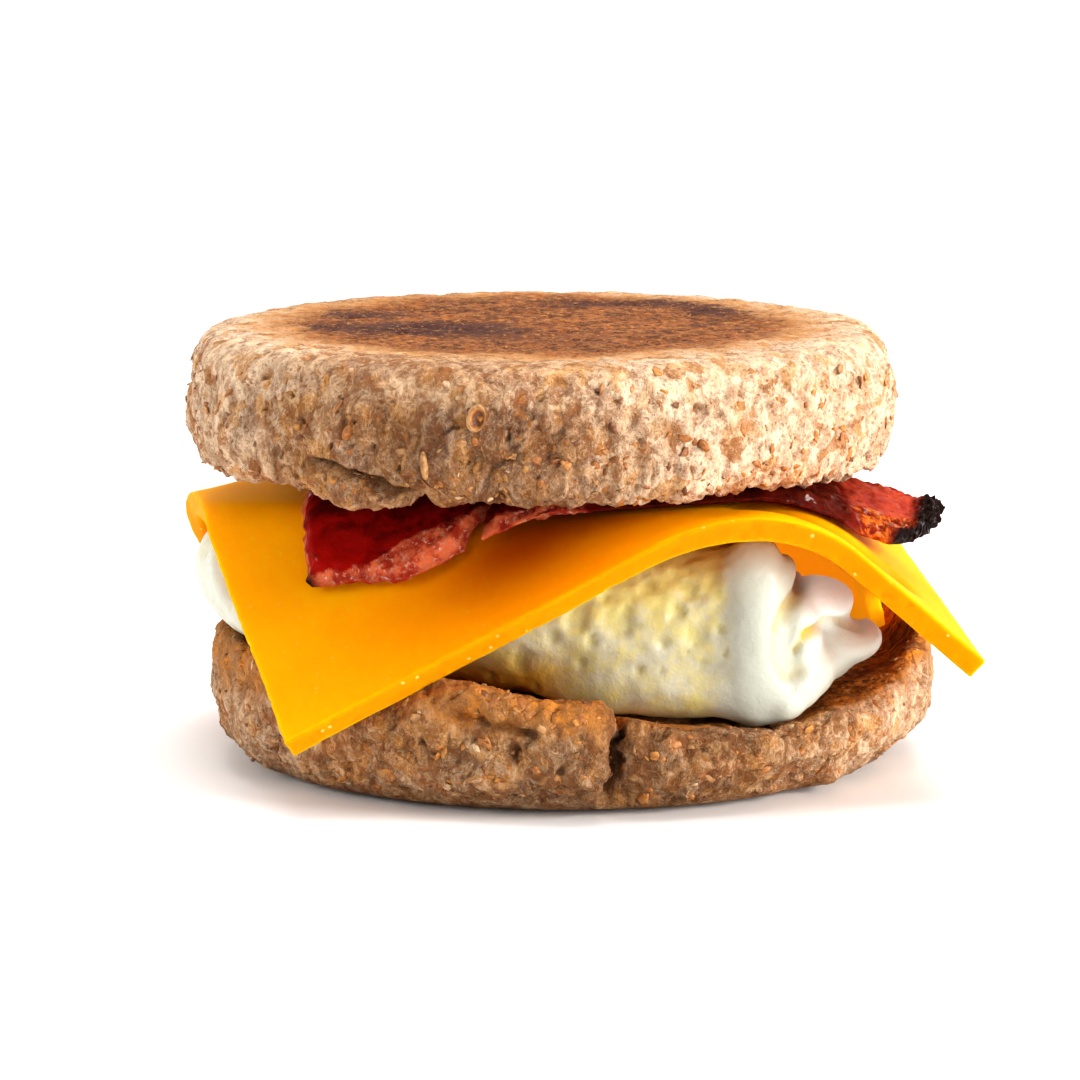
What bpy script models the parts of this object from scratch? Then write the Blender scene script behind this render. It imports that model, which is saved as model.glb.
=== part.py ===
"""Breakfast sandwich: a split wholemeal muffin round folded egg, sliced cheese and bacon.

Lengths are in millimetres until a mesh is made, which scales them to metres.
The origin is the middle of the flat base, +Z is up, and the front faces -Y.
"""

from math import cos, degrees, exp, hypot, pi, radians, sin, sqrt, tan

import bmesh
import bpy
from mathutils import Matrix, Vector, noise
from mathutils.bvhtree import BVHTree

MM = 0.001
UP = Vector((0.0, 0.0, 1.0))
ABOVE_ALL = 80.0
GAP = 0.42
SHARP = radians(50.0)

# Bread: the size and the height of the lumps of its crust
LUMP_SIZES = (9.0, 4.6)
LUMP_HEIGHT = 0.72
RAG_SIZE = 4.1
RAG_HEIGHT = 0.55

# Bottom half of the muffin
BASE_R = 38.8
BOTTOM_R = 47.3
BOTTOM_WIDEST_Z = 10.5
BOTTOM_LIP_R = 45.2
BOTTOM_CUT_Z = 12.3
BOTTOM_SEGMENTS = 84
# (degrees from +X, height of the rim): low in front under the egg, raised at the right
BOTTOM_RIM = (
    (-180, 17.6), (-125, 17.0), (-108, 16.6), (-92, 14.3), (-84, 12.8), (-70, 11.0), (-55, 10.7),
    (-40, 11.6), (-25, 13.4), (-12, 15.8), (5, 18.8), (30, 18.8), (60, 16.0), (140, 16.4),
)
RAISED_AT = radians(3.0)
RAISED_SPREAD = 0.5
WAIST_AT = radians(-22.0)
WAIST = 1.6
CRACK_AT = radians(-84.0)
CRACK_WIDTH = 0.028
CRACK_DEPTH = 2.4
CRACK_STEP = 1.3

# Top half of the muffin
TOP_CENTRE = (-4.0, 0.0)
TOP_R = 45.5
TOP_PLATEAU_R = 41.6
TOP_Z = 56.2
TOP_SHOULDER = 5.6
TOP_RIM_Z = 39.3
TOP_CUT_Z = 40.0
TOP_SEGMENTS = 88
TORN_AT = radians(-119.0)
NOTCH_AT = radians(-110.5)

# Cheese slice: a flat square whose four corners are bent down round straight lines
SLICE_SIDE = 98.9
SLICE_T = 2.8
SLICE_CELLS = 23
SLICE_TURN = radians(10.2)
SLICE_CENTRE = Vector((0.55, 5.1, 34.4))
SLICE_TILT = (tan(radians(2.5)), tan(radians(-0.5)))
# for each corner: its direction, the bend's distance from the middle, angle and radius
SLICE_BENDS = (
    (radians(230.7), 30.5, radians(43.8), 9.6),
    (radians(-10.3), 21.0, radians(42.9), 20.0),
    (radians(136.1), 40.8, radians(70.0), 9.1),
    (radians(50.0), 44.0, radians(66.0), 10.0),
)

# Piece of a second slice that stands behind the right end of the egg
TUCK_FOOT = ((40.9, 9.0), (38.2, 17.5), (32.5, 26.5), (22.0, 34.5))
TUCK_LOW = 13.5
TUCK_HIGH = 30.0
TUCK_DROP = 9.0
TUCK_LEAN = Vector((-1.6, -1.0))
TUCK_CORNER = 1.2
TUCK_T = 2.2

# Folded egg: outline of the packet seen from above, and its height
EGG_OUTLINE = (
    (27.0, -36.4), (31.0, -22.0), (32.0, -6.0), (30.0, 13.0), (17.0, 30.0), (-7.0, 38.5),
    (-33.0, 30.0), (-47.6, 9.0), (-46.5, -12.0), (-37.0, -26.0), (-19.0, -34.5), (6.0, -37.4),
)
EGG_MIDDLE = Vector((-6.0, -3.0))
EGG_LOW = 10.4
EGG_HIGH = 33.6
EGG_VOXEL = 1.0
EGG_TRIANGLES = 2700
# (middle, half sizes, turn about Z, tilt about Y) of the folds that stand out from the packet
EGG_FOLDS = (
    ((22.8, -33.2, 21.5), (5.6, 5.2, 12.8), 0.0, 0.0),
    ((31.2, -19.0, 16.6), (17.5, 6.4, 4.1), radians(66.0), radians(-9.0)),
    ((29.0, -17.0, 24.6), (13.0, 5.8, 4.0), radians(68.0), radians(9.0)),
    ((26.5, -30.4, 14.2), (7.5, 6.4, 4.6), radians(60.0), 0.0),
    ((12.0, -32.6, 15.6), (18.0, 4.6, 5.2), 0.0, radians(2.0)),
)

# Bacon
RASHER_T = 2.2
RASHER_LIFT = SLICE_T / 2.0 + GAP + RASHER_T / 2.0
# left rasher, laid out on the slice: the end that hangs over the front, and the way it runs back
LEFT_END = ((-40.6, -27.6), (-34.8, -31.4), (-28.0, -35.5), (-19.7, -34.9))
LEFT_RUN = Vector((0.24, 0.97))
LEFT_LENGTH = 55.0
# right rasher: its front and back edges
RIGHT_FRONT = (
    (-11.4, -34.0, 30.0), (2.0, -34.8, 34.0), (17.0, -34.4, 37.0), (29.0, -32.0, 36.4),
    (37.5, -26.5, 33.0), (43.5, -19.5, 31.6), (47.6, -11.5, 32.2),
)
RIGHT_BACK = (
    (-7.0, -4.0, 37.7), (4.0, -2.0, 37.9), (16.0, -1.0, 38.1), (27.0, -1.5, 38.1),
    (36.0, -2.5, 37.0), (43.0, -4.2, 34.6), (47.6, -7.0, 32.9),
)

# Base colour and roughness of each material
FINISHES = {
    "crust": ((0.40, 0.23, 0.12), 0.85),
    "toasted crust": ((0.44, 0.25, 0.14), 0.85),
    "egg": ((0.80, 0.77, 0.64), 0.45),
    "cheese": ((0.95, 0.42, 0.01), 0.40),
    "bacon": ((0.40, 0.05, 0.03), 0.30),
}


def smooth(low, high, x):
    """Ease from 0 at low to 1 at high."""
    t = min(1.0, max(0.0, (x - low) / (high - low)))
    return t * t * (3.0 - 2.0 * t)


def bell(x, width):
    return exp(-((x / width) ** 2))


def turn(a, b):
    """Signed difference of two angles."""
    return (a - b + pi) % (2.0 * pi) - pi


def rough(place, size, seed):
    """Smooth noise between about -1 and 1, with lumps of the given size."""
    return noise.noise(Vector(place) / size + Vector((seed, -seed, 3.1 * seed)))


def lumps(place, seed):
    """Crust relief: large lumps with smaller ones on them."""
    return rough(place, LUMP_SIZES[0], seed) + 0.6 * rough(place, LUMP_SIZES[1], seed + 5.0)


def by_angle(table, angle):
    """Read a height from (degrees, height) pairs round the circle, easing between them."""
    a = degrees(angle) % 360.0
    pairs = sorted((d % 360.0, v) for d, v in table)
    pairs = [(pairs[-1][0] - 360.0, pairs[-1][1])] + pairs + [(pairs[0][0] + 360.0, pairs[0][1])]
    for (d0, v0), (d1, v1) in zip(pairs, pairs[1:]):
        if d0 <= a <= d1:
            return v0 + (v1 - v0) * smooth(d0, d1, a)
    return pairs[0][1]


def along(points, u):
    """Point at 0..1 along a smooth curve through the given points."""
    n = len(points) - 1
    k = min(n - 1, max(0, int(u * n)))
    f = u * n - k
    p = [Vector(points[min(n, max(0, k + d))]) for d in (-1, 0, 1, 2)]
    if k == 0:
        p[0] = 2.0 * p[1] - p[2]
    if k == n - 1:
        p[3] = 2.0 * p[2] - p[1]
    out = 2.0 * p[1] + (p[2] - p[0]) * f
    out += (2.0 * p[0] - 5.0 * p[1] + 4.0 * p[2] - p[3]) * f * f
    out += (3.0 * p[1] - p[0] - 3.0 * p[2] + p[3]) * f ** 3
    return out * 0.5


def link(name, mesh, finish, parent):
    """Add an object with its own Principled material."""
    colour, roughness = FINISHES[finish]
    material = bpy.data.materials.new(name)
    material.use_nodes = True
    shader = material.node_tree.nodes["Principled BSDF"]
    shader.inputs["Base Color"].default_value = (*colour, 1.0)
    shader.inputs["Roughness"].default_value = roughness
    shader.inputs["Metallic"].default_value = 0.0
    material.diffuse_color = (*colour, 1.0)
    mesh.materials.clear()
    mesh.materials.append(material)
    mesh.shade_smooth()
    mesh.set_sharp_from_angle(angle=SHARP)
    obj = bpy.data.objects.new(name, mesh)
    bpy.context.scene.collection.objects.link(obj)
    obj.parent = parent
    return obj


def mesh_from(name, verts, faces):
    """Closed triangle mesh from points in millimetres."""
    mesh = bpy.data.meshes.new(name)
    mesh.from_pydata([Vector(v) * MM for v in verts], [], faces)
    bm = bmesh.new()
    bm.from_mesh(mesh)
    bmesh.ops.recalc_face_normals(bm, faces=bm.faces)
    bmesh.ops.triangulate(bm, faces=bm.faces)
    bm.to_mesh(mesh)
    bm.free()
    return mesh


def turned(name, angles, profile):
    """Join half sections, given by profile(angle) from pole to pole, round the Z axis."""
    rows = [profile(a) for a in angles]
    ring = len(rows[0]) - 2
    verts = [rows[0][0]]
    for row in rows:
        verts.extend(row[1:-1])
    verts.append(rows[0][-1])
    last = len(verts) - 1
    faces = []
    for i in range(len(rows)):
        a = 1 + i * ring
        b = 1 + ((i + 1) % len(rows)) * ring
        faces.append((0, a, b))
        for k in range(ring - 1):
            faces.append((a + k, a + k + 1, b + k + 1, b + k))
        faces.append((a + ring - 1, last, b + ring - 1))
    return mesh_from(name, verts, faces)


def slab(name, nu, nv, thick, surface):
    """Close a thick sheet whose middle surface(u, v) returns a point and its unit normal."""
    verts = []
    for side in (0.5, -0.5):
        for i in range(nu + 1):
            for j in range(nv + 1):
                point, normal = surface(i / nu, j / nv)
                verts.append(point + normal * (side * thick))
    far = (nu + 1) * (nv + 1)

    def at(i, j):
        return i * (nv + 1) + j

    faces = []
    for i in range(nu):
        for j in range(nv):
            quad = (at(i, j), at(i + 1, j), at(i + 1, j + 1), at(i, j + 1))
            faces.append(quad)
            faces.append(tuple(far + k for k in reversed(quad)))
    border = [at(i, 0) for i in range(nu)]
    border += [at(nu, j) for j in range(nv)]
    border += [at(i, nv) for i in range(nu, 0, -1)]
    border += [at(0, j) for j in range(nv, 0, -1)]
    for a, b in zip(border, border[1:] + border[:1]):
        faces.append((a, far + a, far + b, b))
    return mesh_from(name, verts, faces)


def with_normal(place):
    """Turn place(u, v) into a function that also returns the unit normal there."""
    step = 0.004

    def surface(u, v):
        a = place(u + step, v) - place(u - step, v)
        b = place(u, v + step) - place(u, v - step)
        return place(u, v), a.cross(b).normalized()

    return surface


def bottom_section(angle):
    """Half section of the bottom half, from the middle of its cut face to the middle of its base."""
    c, s = cos(angle), sin(angle)
    rim = by_angle(BOTTOM_RIM, angle)
    rag = RAG_HEIGHT * rough((BOTTOM_R * c, BOTTOM_R * s, 0.0), RAG_SIZE, 5.0)
    raised = bell(turn(angle, RAISED_AT), RAISED_SPREAD)
    hang = 0.30 * (17.5 - rim)
    waist = WAIST * bell(turn(angle, WAIST_AT), 0.6)
    past = turn(angle, CRACK_AT)
    step = CRACK_STEP * smooth(0.05, -0.05, past) * smooth(-0.75, -0.1, past)
    step += 0.5 * bell(past + 0.35, 0.25) - CRACK_DEPTH * bell(past, CRACK_WIDTH)

    def at(r, z, relief):
        grow = LUMP_HEIGHT * lumps((r * c, r * s, z), 2.0) + step * smooth(0.0, 5.0, z)
        r += relief * grow
        return Vector((r * c, r * s, z))

    cut = BOTTOM_CUT_Z + 0.35 * rough((10.0 * c, 10.0 * s, 0.0), 9.0, 1.0)
    inner = min(rim - 0.8, BOTTOM_CUT_Z + 0.3)
    rows = [
        Vector((0.0, 0.0, BOTTOM_CUT_Z - 0.1)),
        at(14.0, cut, 0.0),
        at(26.0, cut, 0.0),
        at(33.0, min(cut, inner), 0.0),
        at(38.5 - hang + 2.4 * raised, inner - 0.2, 0.0),
        at(41.6 - hang + 1.9 * raised, inner + 0.45 * (rim - inner), 0.2),
        at(43.6 - 0.5 * hang + 0.8 * raised, rim - 0.35 + 0.5 * rag, 0.5),
        at(BOTTOM_LIP_R, rim + rag, 0.8),
        at(BOTTOM_LIP_R + 1.3, rim - 0.9 + rag, 1.0),
    ]
    for f in (0.72, 0.45, 0.2):
        rows.append(at(BOTTOM_R - 0.3 * f, BOTTOM_WIDEST_Z + (rim - 1.2 - BOTTOM_WIDEST_Z) * f, 1.0))
    for z in (8.8, 6.4, 4.2, 2.3, 0.9):
        bulge = sqrt(1.0 - (1.0 - z / BOTTOM_WIDEST_Z) ** 2)
        r = BASE_R + (BOTTOM_R - BASE_R) * bulge - waist * smooth(7.0, 2.0, z)
        rows.append(at(r, z, 0.9 * bulge))
    rows.append(at(BASE_R - waist, 0.0, 0.0))
    rows.append(at(0.6 * BASE_R, 0.0, 0.0))
    rows.append(Vector())
    return rows


def top_section(angle):
    """Half section of the top half, from the middle of its crown to the middle of its cut face."""
    c, s = cos(angle), sin(angle)
    cx, cy = TOP_CENTRE
    rag = RAG_HEIGHT * rough((TOP_R * c, TOP_R * s, 0.0), RAG_SIZE, 31.0)
    torn = 0.7 * bell(turn(angle, TORN_AT), 0.16)
    low = TOP_RIM_Z + rag - torn + 1.1 * bell(turn(angle, NOTCH_AT), 0.03)

    def at(r, z, relief):
        r += relief * LUMP_HEIGHT * lumps((cx + r * c, cy + r * s, z), 12.0)
        return Vector((cx + r * c, cy + r * s, z))

    rows = [Vector((cx, cy, TOP_Z))]
    for r in (14.0, 26.0, 35.0):
        dome = 0.35 * rough((cx + r * c, cy + r * s, 0.0), 16.0, 4.0)
        rows.append(at(r, TOP_Z - 0.1 + dome, 0.0))
    rows.append(at(TOP_PLATEAU_R - 1.5, TOP_Z, 0.1))
    for f in (0.25, 0.5, 0.75, 1.0):
        a = f * pi / 2.0
        r = TOP_PLATEAU_R + (TOP_R - TOP_PLATEAU_R) * sin(a)
        rows.append(at(r, TOP_Z - TOP_SHOULDER * (1.0 - cos(a)), 0.4 + 0.6 * f))
    for z in (48.4, 46.0, 43.6):
        rows.append(at(TOP_R + 0.1, z, 1.0))
    rows += [
        at(TOP_R - 0.3, 41.8 + 0.3 * rag, 1.0),
        at(TOP_R - 1.2, low + 0.9, 1.0),
        at(TOP_R - 2.8 + 0.6 * torn, low, 0.7),
        at(TOP_R - 5.0, low + 0.15, 0.5),
        at(38.0, TOP_CUT_Z, 0.2),
        at(26.0, TOP_CUT_Z + 0.1, 0.0),
        at(13.0, TOP_CUT_Z + 0.1, 0.0),
        Vector((cx, cy, TOP_CUT_Z + 0.1)),
    ]
    return rows


def bent(s, t):
    """Middle surface of the draped slice, s and t from the middle of the flat square."""
    x, y, z = s, t, 0.0
    for way, start, angle, radius in SLICE_BENDS:
        nx, ny = cos(way), sin(way)
        u = s * nx + t * ny - start
        if u <= 0.0:
            continue
        arc = min(u / radius, angle)
        rest = max(0.0, u - radius * angle)
        move = radius * sin(arc) + rest * cos(angle) - u
        x += move * nx
        y += move * ny
        z -= radius * (1.0 - cos(arc)) + rest * sin(angle)
    p = Matrix.Rotation(SLICE_TURN, 3, "Z") @ Vector((x, y, z))
    p.z += SLICE_TILT[0] * p.x + SLICE_TILT[1] * p.y
    return p + SLICE_CENTRE


def bent_normal(s, t):
    step = 0.3
    a = bent(s + step, t) - bent(s - step, t)
    b = bent(s, t + step) - bent(s, t - step)
    return a.cross(b).normalized()


def slice_surface(u, v):
    s = (u - 0.5) * SLICE_SIDE
    t = (v - 0.5) * SLICE_SIDE
    return bent(s, t), bent_normal(s, t)


def slice_search(cells=80):
    """Search tree of the slice's middle surface."""
    row = cells + 1
    points = []
    for i in range(row):
        for j in range(row):
            points.append(slice_surface(i / cells, j / cells)[0])
    quads = []
    for i in range(cells):
        for j in range(cells):
            a = i * row + j
            quads.append((a, a + row, a + row + 1, a + 1))
    return BVHTree.FromPolygons(points, quads)


def tuck(u, v):
    """Second slice: stands along TUCK_FOOT, lower at its right end, with a rounded bottom corner."""
    foot = along(TUCK_FOOT, u)
    low = TUCK_LOW + TUCK_CORNER * (1.0 - smooth(0.0, 0.16, u)) ** 2
    high = TUCK_HIGH - TUCK_DROP * (1.0 - smooth(0.0, 0.55, u))
    place = foot + TUCK_LEAN * v
    return Vector((place.x, place.y, low + (high - low) * v))


def left_rasher(u, v):
    """Left rasher: follows the slice, its end hanging over the front."""
    sway = 0.8 * sin(9.0 * v + 1.0) * (1.0 - u) + 0.7 * sin(8.0 * v) * u
    p = along(LEFT_END, u) + LEFT_RUN * (LEFT_LENGTH * v) + Vector((sway, 0.0))
    wave = 0.55 + 0.30 * sin(11.0 * v + 2.0 * u) + 0.22 * sin(9.0 * u + 5.0 * v)
    return bent(p.x, p.y) + bent_normal(p.x, p.y) * (RASHER_LIFT + wave)


def right_rasher_over(search):
    """Right rasher: between its two edges, never lower than the slice under it allows."""

    def place(u, v):
        p = along(RIGHT_FRONT, u).lerp(along(RIGHT_BACK, u), v)
        p.z += 0.16 * sin(14.0 * u + 3.0 * v) + 0.35 * smooth(0.6, 1.0, u) * sin(7.0 * v + 9.0 * u)
        hit, normal, _, _ = search.ray_cast(Vector((p.x, p.y, ABOVE_ALL)), -UP)
        if hit:
            p.z = max(p.z, hit.z + (RASHER_LIFT + 0.1) / max(0.5, abs(normal.z)))
        return p

    return place


def egg_packet(bm):
    """Rounded slab with the packet's outline, sagging at the open right end."""
    count, layers = 96, 16
    outline = [along(EGG_OUTLINE + EGG_OUTLINE[:1], i / count) for i in range(count)]
    half = (EGG_HIGH - EGG_LOW) / 2.0
    rings = []
    for k in range(1, layers):
        a = pi * k / layers - pi / 2.0
        spread = abs(cos(a)) ** 0.42
        rise = abs(sin(a)) ** 0.75
        z = EGG_LOW + half + (half if a > 0.0 else -half) * rise
        ring = []
        for p in outline:
            q = EGG_MIDDLE + (p - EGG_MIDDLE) * spread
            lean = 0.16 * (z - 22.0) * smooth(-20.0, -45.0, q.x)
            lift = 3.4 * smooth(10.0, -20.0, q.x) * smooth(26.0, 12.0, z)
            drop = 6.5 * smooth(22.0, 31.0, q.x) * smooth(-36.0, -24.0, q.y) * smooth(16.0, 32.0, z)
            ring.append(bm.verts.new((q.x - lean, q.y, z + lift - drop)))
        rings.append(ring)
    for a, b in zip(rings, rings[1:]):
        for i in range(count):
            j = (i + 1) % count
            bm.faces.new((a[i], a[j], b[j], b[i]))
    bm.faces.new(list(reversed(rings[0])))
    bm.faces.new(rings[-1])


def egg_fold(bm, middle, half_sizes, turn_z, tilt_y):
    """Flattened ball."""
    ball = bmesh.ops.create_uvsphere(bm, u_segments=28, v_segments=18, radius=1.0)
    place = Matrix.Translation(middle) @ Matrix.Rotation(turn_z, 4, "Z")
    place = place @ Matrix.Rotation(tilt_y, 4, "Y") @ Matrix.Diagonal((*half_sizes, 1.0))
    bmesh.ops.transform(bm, matrix=place, verts=ball["verts"])


def draft_of(mesh):
    draft = bpy.data.objects.new("draft", mesh)
    bpy.context.scene.collection.objects.link(draft)
    return draft


def finished(draft):
    """Mesh that a draft object's modifier makes; the draft itself goes."""
    seen = draft.evaluated_get(bpy.context.evaluated_depsgraph_get())
    mesh = bpy.data.meshes.new_from_object(seen)
    bpy.data.objects.remove(draft, do_unlink=True)
    return mesh


def melted(mesh, voxel):
    """One skin round everything in the mesh."""
    draft = draft_of(mesh)
    skin = draft.modifiers.new("skin", "REMESH")
    skin.mode = "VOXEL"
    skin.voxel_size = voxel * MM
    return finished(draft)


def thinned(mesh, triangles):
    mesh.calc_loop_triangles()
    draft = draft_of(mesh)
    fewer = draft.modifiers.new("fewer", "DECIMATE")
    fewer.ratio = triangles / len(mesh.loop_triangles)
    fewer.use_collapse_triangulate = True
    return finished(draft)


def egg_mesh(search):
    """Packet and folds melted together, pressed under the slice and thinned out."""
    bm = bmesh.new()
    egg_packet(bm)
    for fold in EGG_FOLDS:
        egg_fold(bm, *fold)
    bmesh.ops.recalc_face_normals(bm, faces=bm.faces)
    bmesh.ops.scale(bm, vec=(MM, MM, MM), verts=bm.verts)
    pieces = bpy.data.meshes.new("egg_pieces")
    bm.to_mesh(pieces)
    bm.free()
    mesh = melted(pieces, EGG_VOXEL)
    bm = bmesh.new()
    bm.from_mesh(mesh)
    for _ in range(3):
        bmesh.ops.smooth_vert(
            bm, verts=bm.verts, factor=0.5, use_axis_x=True, use_axis_y=True, use_axis_z=True
        )
    bm.normal_update()
    for v in bm.verts:
        p = v.co / MM
        v.co += v.normal * (MM * (0.55 * rough(p, 11.0, 40.0) + 0.3 * rough(p, 5.0, 44.0)))
    bm.to_mesh(mesh)
    bm.free()
    press_under_slice(mesh, search, 0.1, 4.0)
    mesh = thinned(mesh, EGG_TRIANGLES)
    press_under_slice(mesh, search, 0.0, 1.2)
    return mesh


def press_under_slice(mesh, search, extra, beyond):
    """Push points to the underside of the slice, fading out beyond its edges."""
    keep = SLICE_T / 2.0 + GAP + extra
    for v in mesh.vertices:
        p = v.co / MM
        place, normal, _, _ = search.find_nearest(p)
        if normal.z < 0.0:
            normal = -normal
        off = p - place
        side = off.dot(normal)
        beside = (off - normal * side).length
        if beside < beyond and side > -keep:
            v.co -= normal * ((side + keep) * smooth(beyond, 0.4 * beyond, beside) * MM)


def tree_of(mesh):
    points = [v.co / MM for v in mesh.vertices]
    return BVHTree.FromPolygons(points, [tuple(p.vertices) for p in mesh.polygons])


def drop_ray(tree, p):
    """Highest point of a body above or below p, or None."""
    return tree.ray_cast(Vector((p.x, p.y, ABOVE_ALL)), -UP)[0]


def push_away(mesh, others):
    """Push points out of the neighbours."""
    for other in others:
        tree = tree_of(other)
        for v in mesh.vertices:
            p = v.co / MM
            place, normal, _, distance = tree.find_nearest(p)
            if (p - place).dot(normal) < 0.0 or distance < GAP:
                v.co = (place + normal * GAP) * MM


def settle(upper, lower, base_z=4.0, rounds=3):
    """Dent the lower body under the upper one, then lift the upper one's points clear of it."""
    for _ in range(rounds):
        tree = tree_of(upper)
        for v in lower.vertices:
            p = v.co / MM
            hit = tree.ray_cast(Vector((p.x, p.y, 0.0)), UP)[0]
            if p.z > base_z and hit and p.z > hit.z - GAP:
                v.co.z = (hit.z - GAP) * MM
        tree = tree_of(lower)
        for v in upper.vertices:
            p = v.co / MM
            hit = drop_ray(tree, p)
            if hit and p.z < hit.z + GAP:
                v.co.z = (hit.z + GAP) * MM


def rest_on(upper, lower, top_z=43.0, near=4.5, rounds=6):
    """Raise the underside of the upper body where it would touch the lower one."""
    below = tree_of(lower)
    points = [v.co / MM for v in lower.vertices]
    for _ in range(rounds):
        tree = tree_of(upper)
        lifts = []
        for p in points:
            hit = tree.ray_cast(Vector((p.x, p.y, 20.0)), UP)[0]
            if hit and p.z > hit.z - GAP:
                lifts.append((p, p.z + GAP - hit.z))
        for v in upper.vertices:
            q = v.co / MM
            if q.z > top_z:
                continue
            lift = 0.0
            for p, height in lifts:
                away = hypot(q.x - p.x, q.y - p.y)
                lift = max(lift, height * smooth(near, 0.5 * near, away))
            hit = drop_ray(below, q)
            if hit:
                lift = max(lift, hit.z + GAP - q.z)
            v.co.z += lift * MM


def ring_angles(count, extra=()):
    return sorted([2.0 * pi * i / count - pi for i in range(count)] + list(extra))


def build():
    for obj in list(bpy.data.objects):
        bpy.data.objects.remove(obj, do_unlink=True)
    sandwich = bpy.data.objects.new("sandwich", None)
    bpy.context.scene.collection.objects.link(sandwich)

    search = slice_search()
    crack = [CRACK_AT + d for d in (-0.045, -0.02, 0.0, 0.02, 0.045)]
    bottom = turned("muffin_bottom", ring_angles(BOTTOM_SEGMENTS, crack), bottom_section)
    top = turned("muffin_top", ring_angles(TOP_SEGMENTS), top_section)
    cheese = slab("cheese_slice", SLICE_CELLS, SLICE_CELLS, SLICE_T, slice_surface)
    piece = slab("cheese_back", 9, 6, TUCK_T, with_normal(tuck))
    left = slab("bacon_left", 9, 22, RASHER_T, with_normal(left_rasher))
    right = slab("bacon_right", 26, 9, RASHER_T, with_normal(right_rasher_over(search)))
    filling = egg_mesh(search)

    press_under_slice(bottom, search, 0.5, 4.0)
    settle(filling, bottom)
    for _ in range(2):
        push_away(piece, [filling, bottom])
    press_under_slice(piece, search, 0.2, 1.2)
    rest_on(top, left)
    rest_on(top, right)

    link("muffin_bottom", bottom, "crust", sandwich)
    link("egg", filling, "egg", sandwich)
    link("cheese_slice", cheese, "cheese", sandwich)
    link("cheese_back", piece, "cheese", sandwich)
    link("bacon_left", left, "bacon", sandwich)
    link("bacon_right", right, "bacon", sandwich)
    link("muffin_top", top, "toasted crust", sandwich)


build()
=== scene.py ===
"""Dresses the breakfast sandwich and sets it on a pale floor under soft light.

Lengths are in millimetres while a piece is shaped, and in metres in its mesh and in a setting
that has a unit of length. The frame's nodes give the places: the base is at z = 0, +Z is up,
and the front faces -Y.
"""

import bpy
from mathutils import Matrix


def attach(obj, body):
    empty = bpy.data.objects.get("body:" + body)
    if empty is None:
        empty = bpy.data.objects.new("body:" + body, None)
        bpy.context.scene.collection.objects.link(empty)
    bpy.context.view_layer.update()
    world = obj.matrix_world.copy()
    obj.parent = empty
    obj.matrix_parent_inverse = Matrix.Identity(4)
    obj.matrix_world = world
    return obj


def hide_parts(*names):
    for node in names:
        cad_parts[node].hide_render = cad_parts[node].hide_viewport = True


bl_info = {
    "name": "Breakfast Sandwich",
    "version": (1, 0),
    "blender": (4, 5, 0),
    "location": "3D View > Sidebar > Sandwich",
    "description": "Toasted muffin, folded egg, sliced cheese and bacon",
    "category": "Add Mesh",
}

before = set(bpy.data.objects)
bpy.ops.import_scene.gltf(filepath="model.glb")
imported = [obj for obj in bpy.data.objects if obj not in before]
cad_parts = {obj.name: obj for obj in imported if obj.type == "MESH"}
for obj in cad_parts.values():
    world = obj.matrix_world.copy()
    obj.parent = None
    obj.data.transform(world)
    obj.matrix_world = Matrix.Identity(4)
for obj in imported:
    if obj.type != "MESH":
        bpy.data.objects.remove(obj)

import random
from math import cos, pi, radians, sin, tan

import bmesh
import bpy
import numpy as np
from mathutils import Euler, Matrix, Vector, noise
from mathutils.bvhtree import BVHTree

MM = 0.001
DOWN = Vector((0.0, 0.0, -1.0))
# Radius of the rounded edges of a slice or rasher
EDGE_RADIUS = 0.3


def ease(low, high, x):
    """0 below low, 1 above high, and a smooth step between, for numbers and arrays."""
    t = np.clip((np.asarray(x, float) - low) / (high - low), 0.0, 1.0)
    return t * t * (3.0 - 2.0 * t)


def bell(x, width):
    """1 at 0, fading on both sides over the width."""
    return np.exp(-((np.asarray(x, float) / width) ** 2))


def along(points, u):
    """Point at 0..1 along a smooth curve through the given points."""
    n = len(points) - 1
    k = min(n - 1, max(0, int(u * n)))
    f = u * n - k
    p = [Vector(points[min(n, max(0, k + d))]) for d in (-1, 0, 1, 2)]
    if k == 0:
        p[0] = 2.0 * p[1] - p[2]
    if k == n - 1:
        p[3] = 2.0 * p[2] - p[1]
    out = 2.0 * p[1] + (p[2] - p[0]) * f
    out += (2.0 * p[0] - 5.0 * p[1] + 4.0 * p[2] - p[3]) * f * f
    out += (3.0 * p[1] - p[0] - 3.0 * p[2] + p[3]) * f ** 3
    return out * 0.5


def shifted(seed):
    """A place of its own in the noise for each seed."""
    return Vector((seed, 2.7 * seed, -1.9 * seed))


def field(points, size, seed, octaves=1):
    """Smooth noise of about -1 to 1 at each point, with lumps of the given size."""
    shift = shifted(seed)
    if octaves == 1:
        return np.array([noise.noise(Vector(p) + shift) for p in points / size])
    return np.array([noise.fractal(Vector(p) + shift, 1.0, 2.1, octaves) for p in points / size])


def cells(points, size, seed):
    """Random cells: how far each point is from its cell's edge, and its cell's own number 0..1."""
    shift = shifted(seed)
    edge = np.empty(len(points))
    number = np.empty(len(points))
    for i, p in enumerate(points / size):
        far, near = noise.voronoi(Vector(p) + shift)
        edge[i] = far[1] - far[0]
        number[i] = noise.cell(near[0] * 17.3)
    return edge * size, number


def polar(points, centre=(0.0, 0.0)):
    """How far each point is from an upright line, and its angle in degrees from +X."""
    x, y = points[:, 0] - centre[0], points[:, 1] - centre[1]
    return np.hypot(x, y), np.degrees(np.arctan2(y, x))


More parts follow.
